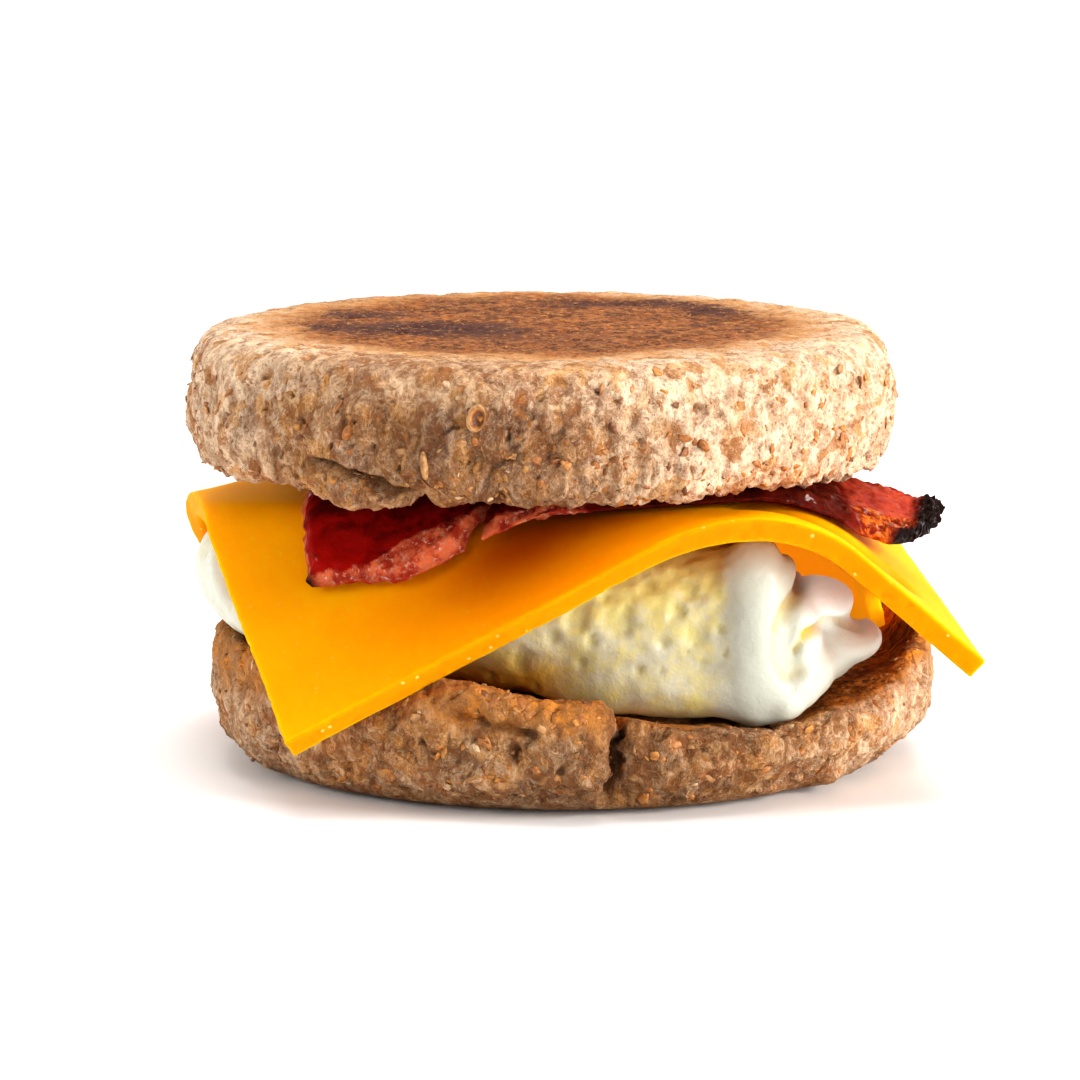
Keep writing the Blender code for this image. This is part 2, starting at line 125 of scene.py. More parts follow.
def near_path(x, z, path, width):
    """1 on a path of places across and up, fading over the width."""
    best = np.full(len(x), 1e9)
    for (ax, az), (bx, bz) in zip(path, path[1:]):
        wx, wz = bx - ax, bz - az
        t = np.clip(((x - ax) * wx + (z - az) * wz) / (wx * wx + wz * wz), 0.0, 1.0)
        best = np.minimum(best, np.hypot(x - ax - t * wx, z - az - t * wz))
    return bell(best, width)


# Meshes


def linked(name, data):
    obj = bpy.data.objects.new(name, data)
    bpy.context.scene.collection.objects.link(obj)
    return obj


def mesh_of(shape, name):
    """A bmesh made a mesh."""
    mesh = bpy.data.meshes.new(name)
    shape.to_mesh(mesh)
    shape.free()
    return mesh


def points_of(mesh, unit=MM):
    """The points of a mesh, counted in the unit."""
    co = np.empty(len(mesh.vertices) * 3)
    mesh.vertices.foreach_get("co", co)
    return co.reshape(-1, 3) / unit


def normals_of(mesh):
    out = np.empty(len(mesh.vertices) * 3)
    mesh.vertex_normals.foreach_get("vector", out)
    return out.reshape(-1, 3)


def move_points(mesh, points):
    mesh.vertices.foreach_set("co", (points * MM).ravel())
    mesh.update()


def keep_values(mesh, **values):
    """Keep a number for each point, for the material to read."""
    for name, numbers in values.items():
        layer = mesh.attributes.new(name, "FLOAT", "POINT")
        layer.data.foreach_set("value", np.asarray(numbers, np.float32))


def loose_copy(node):
    """A CAD node's shape in a bmesh, its doubled points merged."""
    shape = bmesh.new()
    shape.from_mesh(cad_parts[node].data)
    bmesh.ops.remove_doubles(shape, verts=shape.verts, dist=0.001 * MM)
    return shape


def skin_round(shape, cell, rounds):
    """One skin of even cells round everything in a bmesh, its facets smoothed away."""
    draft = linked("draft", mesh_of(shape, "draft"))
    skin = draft.modifiers.new("skin", "REMESH")
    skin.mode = "VOXEL"
    skin.voxel_size = cell * MM
    soften = draft.modifiers.new("soften", "SMOOTH")
    soften.factor = 0.5
    soften.iterations = rounds
    seen = draft.evaluated_get(bpy.context.evaluated_depsgraph_get())
    mesh = bpy.data.meshes.new_from_object(seen)
    bpy.data.objects.remove(draft)
    return mesh


def finer(mesh, wanted):
    """Halve the cells round the points where wanted is true."""
    shape = bmesh.new()
    shape.from_mesh(mesh)
    shape.verts.ensure_lookup_table()
    edges = [e for e in shape.edges if wanted[e.verts[0].index] and wanted[e.verts[1].index]]
    bmesh.ops.subdivide_edges(shape, edges=edges, cuts=1, use_grid_fill=True)
    odd = [f for f in shape.faces if len(f.verts) > 4]
    bmesh.ops.triangulate(shape, faces=odd)
    shape.to_mesh(mesh)
    shape.free()


def raised(shape, height):
    """Pull a lid up from all the faces of a flat bmesh, and give the lid's points."""
    lid = bmesh.ops.extrude_face_region(shape, geom=shape.faces[:], use_keep_orig=True)
    top = [g for g in lid["geom"] if isinstance(g, bmesh.types.BMVert)]
    bmesh.ops.translate(shape, vec=(0.0, 0.0, height), verts=top)
    return top


def board(length, width, thick, cell, rim_cuts):
    """Flat board of square cells, its rim cut into layers and its edges rounded."""
    shape = bmesh.new()
    nx, ny = round(length / cell), round(width / cell)
    bmesh.ops.create_grid(shape, x_segments=nx, y_segments=ny, size=0.5)
    bmesh.ops.scale(shape, vec=(length, width, 1.0), verts=shape.verts)
    bmesh.ops.translate(shape, vec=(0.0, 0.0, -thick / 2.0), verts=shape.verts)
    raised(shape, thick)
    rim = [e for e in shape.edges if abs(e.verts[0].co.z - e.verts[1].co.z) > 0.5 * thick]
    bmesh.ops.subdivide_edges(shape, edges=rim, cuts=rim_cuts, use_grid_fill=True)
    bmesh.ops.recalc_face_normals(shape, faces=shape.faces)
    sharp = [e for e in shape.edges if e.calc_face_angle(0.0) > 1.0]
    bmesh.ops.bevel(
        shape, geom=sharp, offset=EDGE_RADIUS, segments=2, profile=0.5, affect="EDGES", material=-1
    )
    mesh = mesh_of(shape, "board")
    return mesh, points_of(mesh, 1.0)


def finished(name, mesh, material, slot, *nodes):
    """The piece as an object that stands for its CAD nodes."""
    mesh.materials.clear()
    mesh.materials.append(material)
    mesh.shade_smooth()
    piece = linked(name, mesh)
    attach(piece, "root")
    if nodes:
        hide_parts(*nodes)
    return piece


# Materials


class Socket:
    """A shader socket that can be reckoned with: each sum adds its Math node."""

    def __init__(self, nodes, link):
        self.nodes = nodes
        self.link = link

    def __add__(self, other):
        return self.nodes.sum("ADD", self, other)

    def __sub__(self, other):
        return self.nodes.sum("SUBTRACT", self, other)

    def __mul__(self, other):
        return self.nodes.sum("MULTIPLY", self, other)

    def __rsub__(self, other):
        return self.nodes.sum("SUBTRACT", other, self)

    __radd__ = __add__
    __rmul__ = __mul__

    def ease(self, low, high):
        """0 below low, 1 above high, smooth between."""
        settings = {"interpolation_type": "SMOOTHSTEP"}
        sockets = {"Value": self, "From Min": low, "From Max": high}
        return self.nodes.node("ShaderNodeMapRange", settings, sockets, "Result")


class Nodes:
    """The nodes of one material or world."""

    def __init__(self, tree):
        self.tree = tree

    def node(self, kind, settings, sockets, output=0):
        """Add a node: first its settings, then its sockets' values or links."""
        node = self.tree.nodes.new(kind)
        for name, value in settings.items():
            setattr(node, name, value)
        for name, value in sockets.items():
            self.feed(node.inputs[name], value)
        return Socket(self, node.outputs[output])

    def feed(self, socket, value):
        if isinstance(value, Socket):
            self.tree.links.new(value.link, socket)
        elif isinstance(value, (int, float)) or len(value) == len(socket.default_value):
            socket.default_value = value
        else:
            socket.default_value = (*value, 1.0)

    def sum(self, operation, a, b):
        return self.node("ShaderNodeMath", {"operation": operation}, {0: a, 1: b})

    def vector(self, operation, *parts, output="Vector"):
        """Vector Math on vectors or triples of numbers."""
        sockets = dict(enumerate(parts))
        return self.node("ShaderNodeVectorMath", {"operation": operation}, sockets, output)


class Finish(Nodes):
    """A material with one Principled shader, and the nodes that feed it."""

    def __init__(self, name, **constants):
        self.material = bpy.data.materials.new(name)
        self.material.use_nodes = True
        super().__init__(self.material.node_tree)
        self.shader = self.tree.nodes["Principled BSDF"]
        self.paint(**constants)
        self.place = self.node("ShaderNodeTexCoord", {}, {}, "Object")

    def paint(self, **sockets):
        """Feed the shader's sockets, whose names are given with _ for a space."""
        for name, value in sockets.items():
            self.feed(self.shader.inputs[name.replace("_", " ")], value)

    def bump(self, height, depth):
        """Fine relief of the given depth in millimetres."""
        sockets = {"Height": height, "Distance": depth * MM, "Strength": 1.0}
        self.paint(Normal=self.node("ShaderNodeBump", {}, sockets, "Normal"))

    def value(self, name):
        """A number that the mesh keeps for each point."""
        return self.node("ShaderNodeAttribute", {"attribute_name": name}, {}, "Fac")

    def noise(self, size, detail=2.0, place=None, output="Fac", **sockets):
        """Noise of about 0 to 1 with lumps of the given size in millimetres."""
        sockets |= {"Vector": place or self.place, "Scale": 1.0 / (size * MM), "Detail": detail}
        return self.node("ShaderNodeTexNoise", {}, sockets, output)

    def cells(self, size, output="Distance", place=None):
        """Random cells of the given size in millimetres."""
        sockets = {"Vector": place or self.place, "Scale": 1.0 / (size * MM)}
        return self.node("ShaderNodeTexVoronoi", {}, sockets, output)

    def warped(self, size, amount):
        """Object coordinates pushed about by noise, both in millimetres."""
        push = self.noise(size, output="Color")
        return self.vector("MULTIPLY_ADD", push, (amount * MM,) * 3, self.place)

    def part(self, colour, channel):
        return self.node("ShaderNodeSeparateColor", {}, {"Color": colour}, channel)

    def mix(self, factor, a, b, blend="MIX"):
        """Colour a where the factor is 0, b where it is 1."""
        settings = {"data_type": "RGBA", "blend_type": blend, "clamp_factor": True}
        # A Mix node has a pair of sockets for each type of data; colours are 6 and 7
        return self.node("ShaderNodeMix", settings, {0: factor, 6: a, 7: b}, 2)

    def layered(self, colour, *layers):
        """A colour with others laid over it, each given as its mask and its colour."""
        for mask, tint in layers:
            colour = self.mix(mask, colour, tint)
        return colour


# Settings


def number_setting(name, description, default, unit="NONE"):
    return bpy.props.FloatProperty(
        name=name, description=description, default=default, unit=unit, precision=5
    )


def colour_setting(name, description, default):
    return bpy.props.FloatVectorProperty(
        name=name, description=description, default=default, subtype="COLOR"
    )


class StageSettings(bpy.types.PropertyGroup):
    key: number_setting("Key light", "Window light from the right", 14.0, "POWER")
    fill: number_setting("Fill light", "Low soft light in front", 5.0, "POWER")
    left: number_setting("Left light", "Soft light from the left", 4.8, "POWER")
    top: number_setting("Top light", "Soft light above", 8.0, "POWER")
    sky: number_setting("Room light", "Strength of the white room behind and above", 1.0)
    floor: colour_setting("Floor", "Colour of the floor", (0.9, 0.9, 0.9))


class BreadSettings(bpy.types.PropertyGroup):
    cell: number_setting("Cell", "Size of the skin's cells in millimetres", 0.8)
    crumb: colour_setting("Crumb", "Side of the top half", (0.385, 0.202, 0.088))
    shoulder: colour_setting("Shoulder", "Edge of the griddled crown", (0.62, 0.29, 0.095))
    toast: colour_setting("Toast", "Griddled crown", (0.255, 0.086, 0.023))
    base: colour_setting("Base", "Side of the bottom half", (0.345, 0.178, 0.059))
    lip: colour_setting("Lip", "Edge of the toasted inside", (0.46, 0.185, 0.038))
    inside: colour_setting("Inside", "Toasted inner face of the bottom half", (0.50, 0.172, 0.016))
    bran: colour_setting("Bran", "Bran and grain", (0.34, 0.12, 0.035))
    flakes: bpy.props.IntProperty(
        name="Flakes", description="Bran flakes on each half", default=650
    )


class EggSettings(bpy.types.PropertyGroup):
    cell: number_setting("Cell", "Size of the skin's cells in millimetres", 0.5)
    white: colour_setting("White", "Set white", (0.465, 0.432, 0.318))
    yolk: colour_setting("Yolk", "Yellow streaks", (0.53, 0.43, 0.11))


class CheeseSettings(bpy.types.PropertyGroup):
    side: number_setting("Side", "Side of the flat slice", 98.9 * MM, "LENGTH")
    thickness: number_setting("Thickness", "Thickness of the slice", 2.8 * MM, "LENGTH")
    colour: colour_setting("Colour", "Ripe cheese", (1.0, 0.355, 0.0003))


class BaconSettings(bpy.types.PropertyGroup):
    lean: colour_setting("Lean", "Cured lean meat", (0.20, 0.002, 0.0015))
    fat: colour_setting("Fat", "Cooked fat", (0.64, 0.15, 0.06))


# Bread

# Middle of the bottom half, and of the top half, which sits a little to the left
BOTTOM_CENTRE = (0.0, 0.0)
TOP_CENTRE = (-4.0, 0.0)
SKIN_ROUNDS = 8

# Angle of the crack down the front, and crevices as degrees from +X and heights
CRACK_AT = -84.0
BOTTOM_CREVICE = ((-109.0, 12.9), (-103.0, 12.2), (-94.0, 11.1))
TOP_CREVICE = ((-130.0, 43.8), (-124.0, 42.7), (-117.0, 41.5), (-109.5, 40.2))

# Seeds in the side of the top half: angle, height, length, width, lean, hollow and tone
SEEDS = (
    (-99.5, 50.1, 3.5, 2.4, radians(-14.0), 0.8, 0.04),
    (-107.8, 44.0, 3.6, 0.95, radians(6.0), 0.0, 0.24),
    (-78.6, 48.8, 1.5, 0.8, radians(15.0), 0.0, 0.95),
    (-64.0, 46.2, 2.0, 1.0, radians(40.0), 0.0, 0.62),
    (-121.0, 47.5, 2.2, 1.2, radians(-30.0), 0.0, 0.60),
)

SEED_THICK = 1.3

# Middle of the griddled crown, and its darkest patches: their middles and sizes
CROWN_CENTRE = (-4.0, 3.0)
CHARRED = (
    (-15.8, -4.0, 9.0), (-28.0, -3.0, 8.0), (-26.0, 14.0, 8.0), (22.0, 22.0, 11.0),
    (6.0, 27.0, 8.0),
)

# Flakes: how many kinds, sides of each, range of thickness, and how much of it is let in
FLAKE_KINDS = 6
FLAKE_SIDES = 6
FLAKE_THICK = (0.12, 0.26)
FLAKE_SUNK = 0.7
FLAKE_LONGEST = 2.4
CRUMB_LONGEST = 1.7
RIM_CRUMBS = 260
LIP_CRUMBS = 90


def bread_finish(name, settings, crumb, toasted, rim):
    """Wholemeal crust: bran, pale flour, a griddled face and painted shade in its pits.

    The mesh keeps each point's depth, toast, char, flour and painted light, and painted shade.
    """
    f = Finish(name, Specular_IOR_Level=0.2)
    toast, char = f.value("toast"), f.value("char")
    crumb, bran, toasted = Vector(crumb), Vector(settings.bran), Vector(toasted)
    greyer = Vector((crumb.x * 0.88, crumb.y * 0.86, crumb.z * 1.06))
    golden = Vector((crumb.x * 1.22, crumb.y * 1.02, crumb.z * 0.55))

    # patterns, from clouds of colour down to dust
    cloud = f.noise(6.0, 4.0, Roughness=0.6)
    patch = f.noise(3.6, 5.0, Roughness=0.66)
    grain = f.noise(1.7, 6.0, Roughness=0.72)
    speck = f.noise(0.9, 4.0, Roughness=0.75)
    dust = f.noise(0.4, 3.0, Roughness=0.65)
    upright = f.vector("MULTIPLY", f.place, (1.0, 1.0, 0.55))
    fibre = f.noise(2.0, 6.0, upright, Roughness=0.64, Distortion=0.5)
    thread = 1.0 - ((fibre - 0.5) * (fibre - 0.5)).ease(0.0, 0.0016)
    small = f.cells(1.0, "Color", f.warped(1.2, 1.0))
    large = f.cells(2.4, "Color", f.warped(2.2, 2.2))
    tone, glint, kind = f.part(small, "Red"), f.part(small, "Blue"), f.part(large, "Red")
    spark = f.part(f.cells(0.42, "Color"), "Green")
    # flour and painted light: paler where there is flour and on the sides where the lights fall
    flour = (f.value("flour") + (grain - 0.5) * 0.8 + (cloud - 0.5) * 0.8).ease(0.15, 1.0)
    # painted shade in the pits, lighter where there is flour
    pit_shade = f.mix(flour, (0.12, 0.055, 0.025), (0.46, 0.19, 0.05))

    crust_colour = f.layered(
        f.mix(cloud.ease(0.36, 0.64), greyer, golden),
        (flour * 0.85, (0.92, 0.69, 0.49)),
        (tone.ease(0.5, 0.95) * 0.22, (0.80, 0.56, 0.35)),
        ((1.0 - tone).ease(0.6, 0.98) * 0.32, (0.30, 0.15, 0.08)),
        (kind.ease(0.66, 0.84) * 0.70, (0.56, 0.24, 0.035)),
        (kind.ease(0.90, 0.95) * 0.65, bran),
        ((1.0 - fibre).ease(0.46, 0.62) * (0.80 - 0.35 * flour), (0.25, 0.105, 0.042)),
        (fibre.ease(0.53, 0.66) * 0.52, (0.92, 0.70, 0.50)),
        (thread * 0.22, (0.90, 0.70, 0.48)),
        ((1.0 - grain).ease(0.49, 0.66) * 0.60, bran * 0.85),
        (grain.ease(0.54, 0.72) * 0.35, (0.88, 0.68, 0.47)),
        ((1.0 - dust).ease(0.52, 0.66) * 0.42, (0.22, 0.09, 0.04)),
        (dust.ease(0.56, 0.72) * 0.30, (0.90, 0.76, 0.58)),
        ((1.0 - spark).ease(0.955, 0.98) * 0.5, (0.14, 0.06, 0.03)),
        # painted shade in the pits, crack and crevices
        (f.value("deep").ease(0.05, 0.9) * 0.65, pit_shade),
    )
    # painted shade: darker where the mesh's shade says, in front and near the base
    crust_colour = f.mix(f.value("shade"), crust_colour, (0.52, 0.46, 0.40), "MULTIPLY")

    burnt = (char + (grain - 0.5) * 2.2 + (patch - 0.5) * 1.2).ease(0.25, 0.95)
    griddled = f.layered(
        f.mix(patch.ease(0.36, 0.62), toasted * 0.58, toasted * 1.55),
        (tone.ease(0.62, 0.95) * 0.55, (0.48, 0.20, 0.06)),
        ((1.0 - grain).ease(0.48, 0.62) * 0.80, (0.080, 0.028, 0.018)),
        (burnt * 0.85, (0.062, 0.021, 0.019)),
        (speck.ease(0.55, 0.66) * 0.65, (0.60, 0.29, 0.11)),
        ((1.0 - speck).ease(0.53, 0.64) * 0.5, (0.085, 0.030, 0.022)),
    )
    edge = toast + (grain - 0.5) + (fibre - 0.5) * 0.6 + (patch - 0.5) * 0.7
    colour = f.layered(
        crust_colour, (edge.ease(0.05, 0.60) * 0.8, rim), (edge.ease(0.35, 0.85), griddled)
    )
    f.paint(Base_Color=colour, Roughness=0.82 - 0.45 * glint.ease(0.80, 0.9) * (1.0 - toast))
    f.bump(fibre * 0.9 + grain * 0.6 + dust * 0.45 + thread * 0.12 + kind * 0.12, 0.70)
    return f.material


def crust_skin(node, cell, centre, fine):
    """Skin of one half, with its cells halved where fine(reach, height) is true."""
    mesh = skin_round(loose_copy(node), cell, SKIN_ROUNDS)
    p = points_of(mesh)
    finer(mesh, fine(polar(p, centre)[0], p[:, 2]))
    return mesh


def beside_crack(points, reach, angle):
    """How far each point is to the right of the crack, which slopes and wanders."""
    path = CRACK_AT + 0.9 * (points[:, 2] - 8.0) / 8.0
    path += 1.1 * field(points, 3.5, 61.0)
    path += 0.5 * field(points, 1.4, 62.0)
    return np.radians(angle - path) * reach


def crevice(angle, height, path, width):
    """1 along a path round the crust, fading out beside it and at its ends."""
    degrees, heights = np.array(path).T
    aside = height - np.interp(angle, degrees, heights)
    ends = ease(degrees[0], degrees[0] + 2.0, angle) * ease(degrees[-1], degrees[-1] - 2.0, angle)
    return bell(aside, width) * ends


def scales(points, size, blend, seed):
    """Flat scales of crust, each at its own height of -0.5 to 0.5, blended at their edges."""
    edge, number = cells(points, size, seed)
    return (number - 0.5) * ease(0.0, blend, edge)


def crust_relief(points, seed, calm):
    """Height of the crust in millimetres and its pits; calm flattens both."""
    wander = np.stack([field(points, 2.4, seed + k) for k in (31, 32, 33)], 1)
    bent_grid = points + 0.9 * wander
    plates = scales(bent_grid, 2.9, 0.6, seed + 7.0) * 0.32
    plates += scales(bent_grid, 1.3, 0.4, seed + 9.0) * 0.18
    lumps = 0.42 * field(points, 6.5, seed) + 0.42 * field(bent_grid, 3.1, seed + 3.0)
    veins = bell(field(bent_grid, 2.8, seed + 11.0), 0.09)
    veins *= ease(-0.05, 0.35, field(points, 5.0, seed + 13.0))
    pits = ease(0.46, 0.62, field(bent_grid, 1.7, seed + 15.0))
    height = lumps + plates - 0.45 * veins - 0.6 * pits
    height += 0.18 * field(bent_grid, 1.1, seed + 17.0, 2)
    return height * calm, np.maximum(pits, 0.6 * veins) * calm


def flake_shapes(chance):
    """Thin flakes of uneven sides, about one unit across, each in a mesh."""
    shapes = []
    for _ in range(FLAKE_KINDS):
        shape = bmesh.new()
        bmesh.ops.create_circle(shape, cap_ends=True, segments=FLAKE_SIDES, radius=0.5)
        for v in shape.verts:
            v.co *= chance.uniform(0.55, 1.25)
        top = raised(shape, 1.0)
        bmesh.ops.scale(shape, vec=(0.78, 0.78, 1.0), verts=top)
        bmesh.ops.recalc_face_normals(shape, faces=shape.faces)
        bmesh.ops.triangulate(shape, faces=shape.faces)
        shapes.append(mesh_of(shape, "flake"))
    return shapes


def strewn(mesh, weight, count, longest, tilt, seed):
    """Flakes let into the skin of a mesh, more where the weight of its points is high."""
    chance = random.Random(seed)
    shapes = flake_shapes(chance)
    faces = len(mesh.polygons)
    middles, normals, areas = np.empty(faces * 3), np.empty(faces * 3), np.empty(faces)
    mesh.polygons.foreach_get("center", middles)
    mesh.polygons.foreach_get("normal", normals)
    mesh.polygons.foreach_get("area", areas)
    first = np.empty(faces, int)
    mesh.polygons.foreach_get("loop_start", first)
    corner = np.empty(len(mesh.loops), int)
    mesh.loops.foreach_get("vertex_index", corner)
    reach = np.cumsum(areas * weight[corner[first]])
    middles, normals = middles.reshape(-1, 3), normals.reshape(-1, 3)
    shape = bmesh.new()
    tones = []
    for _ in range(count):
        k = int(np.searchsorted(reach, chance.random() * reach[-1]))
        normal = Vector(normals[k])
        size_x = longest * (0.3 + 0.7 * chance.random() ** 1.6)
        size_y = size_x * chance.uniform(0.35, 0.8)
        thick = chance.uniform(*FLAKE_THICK)
        face = normal.to_track_quat("Z", "Y").to_matrix().to_4x4()
        spin = Matrix.Rotation(chance.uniform(0.0, 2.0 * pi), 4, "Z")
        lean = Matrix.Rotation(chance.gauss(0.0, tilt), 4, "X")
        size = Matrix.Diagonal((size_x * MM, size_y * MM, thick * MM, 1.0))
        place = Vector(middles[k]) - normal * (FLAKE_SUNK * thick * MM)
        start = len(shape.verts)
        shape.from_mesh(chance.choice(shapes))
        shape.verts.ensure_lookup_table()
        added = shape.verts[start:]
        move = Matrix.Translation(place) @ face @ spin @ lean @ size
        bmesh.ops.transform(shape, matrix=move, verts=added)
        tones += [chance.random()] * len(added)
    out = mesh_of(shape, "flakes")
    keep_values(out, tone=tones)
    return out


def flake_finish():
    """Bran flakes, from pale flour through tan to red-brown as the tone that each one keeps."""
    f = Finish("bran", Roughness=0.5, Specular_IOR_Level=0.4)
    tone = f.value("tone")
    fine = f.noise(0.6, 4.0, Roughness=0.65)
    colour = f.layered(
        (0.64, 0.43, 0.25),
        (tone.ease(0.02, 0.05), (0.38, 0.19, 0.065)),
        (tone.ease(0.22, 0.36), (0.46, 0.185, 0.028)),
        (tone.ease(0.46, 0.60), (0.35, 0.120, 0.020)),
        (tone.ease(0.84, 0.95), (0.14, 0.042, 0.012)),
        (fine.ease(0.48, 0.66) * 0.25, (0.62, 0.40, 0.22)),
        ((1.0 - fine).ease(0.48, 0.66) * 0.7, (0.16, 0.065, 0.025)),
    )
    f.paint(Base_Color=colour)
    f.bump(fine, 0.15)
    return f.material


def seeds(mesh, centre, places):
    """Seeds lying in the crust: angle, height, length, width, lean, hollow and tone of each."""
    tree = BVHTree.FromPolygons([v.co for v in mesh.vertices], [p.vertices for p in mesh.polygons])
    shape = bmesh.new()
    tones = shape.verts.layers.float.new("tone")
    for angle, height, long, wide, lean, hollow, tone in places:
        way = Vector((cos(radians(angle)), sin(radians(angle)), 0.0))
        start = Vector((*centre, height)) + way * 70.0
        hit = tree.ray_cast(start * MM, -way)[0]
        ball = bmesh.ops.create_uvsphere(shape, u_segments=24, v_segments=16, radius=0.5)
        for v in ball["verts"]:
            x, y, z = v.co
            inside = max(0.0, 1.0 - ((x - 0.10) ** 2 + y * y) / 0.19)
            dent = hollow * inside if z > 0.0 else 0.0
            # a higher tone paints the hollow darker, a painted shade
            v[tones] = min(1.0, tone + 2.2 * dent)
            v.co = (x * wide, y * long, (z - dent) * SEED_THICK)
        face = way.to_track_quat("Z", "Y").to_matrix().to_4x4()
        move = Matrix.Translation(hit + way * (0.1 + 0.5 * hollow) * MM) @ face
        move = move @ Matrix.Rotation(lean, 4, "Z") @ Matrix.Scale(MM, 4)
        bmesh.ops.transform(shape, matrix=move, verts=ball["verts"])
    return mesh_of(shape, "seeds")


class SANDWICH_OT_muffin_bottom(bpy.types.Operator):
    """Bottom half of the muffin, split in front"""

    bl_idname = "sandwich.muffin_bottom"
    bl_label = "Bottom half"

    def execute(self, context):
        settings = context.scene.sandwich_bread
        mesh = crust_skin(
            "muffin_bottom", settings.cell, BOTTOM_CENTRE,
            lambda reach, height: (reach > 36.0) & (height > 0.4),
        )
        p, n = points_of(mesh), normals_of(mesh)
        # z is a view, so it follows the points as they move
        z = p[:, 2]
        reach, angle = polar(p)
        right = bell(angle + 5.0, 30.0)
        inner = (1.0 - ease(42.0 + 3.0 * right, 45.0 + 2.0 * right, reach)) * ease(8.0, 12.0, z)
        height, pits = crust_relief(p, 3.0, ease(0.1, 2.5, z) * (1.0 - 0.7 * inner))

        # the crack, whose left side stands out, and a crevice and a dent in that side
        aside = beside_crack(p, reach, angle)
        outer = ease(1.0, 4.0, z) * (reach > 38.0)
        height += np.where(aside < 0.0, 1.2 * bell(aside, 5.5), -0.5 * bell(aside, 3.0)) * outer
        crack = bell(aside - 0.3, 0.7) * outer
        height -= 2.6 * crack
        split = crevice(angle, z + 0.5 * field(p, 2.0, 65.0), BOTTOM_CREVICE, 0.5)
        split = np.maximum(split, bell(angle + 98.4, 1.0) * bell(z - 8.8, 1.4))
        height -= 1.7 * split * (reach > 40.0)
        height += 0.6 * bell(angle + 40.0, 3.5) * bell(z - 2.6, 1.8)

        # the lip under the egg rises towards the front
        rise = bell(angle + 84.0, 36.0) * ease(10.0, 15.0, z) * ease(37.0, 41.0, reach)
        p += n * height[:, None]
        z += (0.9 + 0.6 * bell(angle + 106.0, 10.0)) * rise
        move_points(mesh, p)

        lip = ease(9.0, 15.5, z + 2.5 * field(p, 6.0, 63.0))
        # pale: painted light on the sides where the lights fall, laid on as flour; dim: painted
        # shade in front
        pale = 1.35 * bell(angle + 26.0, 26.0)
        pale += 1.1 * (ease(-115.0, -145.0, angle) + ease(135.0, 180.0, angle))
        dim = 1.1 * bell(angle + 74.0, 30.0) * (1.0 - inner) * ease(1.5, -0.5, pale)
        # painted shade in the pits, crack and crevice, in front and near the base
        keep_values(
            mesh, deep=np.maximum(pits, np.maximum(crack, split)),
            flour=0.45 * pale * (1.0 - 0.45 * inner), toast=0.72 * inner + 0.48 * lip,
            char=0.10 * inner, shade=np.maximum(dim, 0.75 * ease(3.2, 0.6, z)),
        )
        material = bread_finish(
            "bottom crust", settings, settings.base, settings.inside, settings.lip
        )
        finished("bottom_half", mesh, material, "muffin_bottom", "muffin_bottom")

        bran = flake_finish()
        moved_reach, moved_angle = polar(p)
        weight = ease(40.0, 44.0, moved_reach) * ease(0.5, 3.0, z)
        flakes = strewn(mesh, weight, settings.flakes, FLAKE_LONGEST, tilt=0.08, seed=5)
        finished("bottom_flakes", flakes, bran, "muffin_bottom")
        weight = ease(13.0, 14.5, z) * (reach > 40.0) * (0.15 + bell(moved_angle + 101.0, 4.0))
        weight *= ease(-40.0, -60.0, moved_angle)
        crumbs = strewn(mesh, weight, LIP_CRUMBS, CRUMB_LONGEST, tilt=0.6, seed=8)
        finished("bottom_lip_crumbs", crumbs, bran, "muffin_bottom")
        return {"FINISHED"}


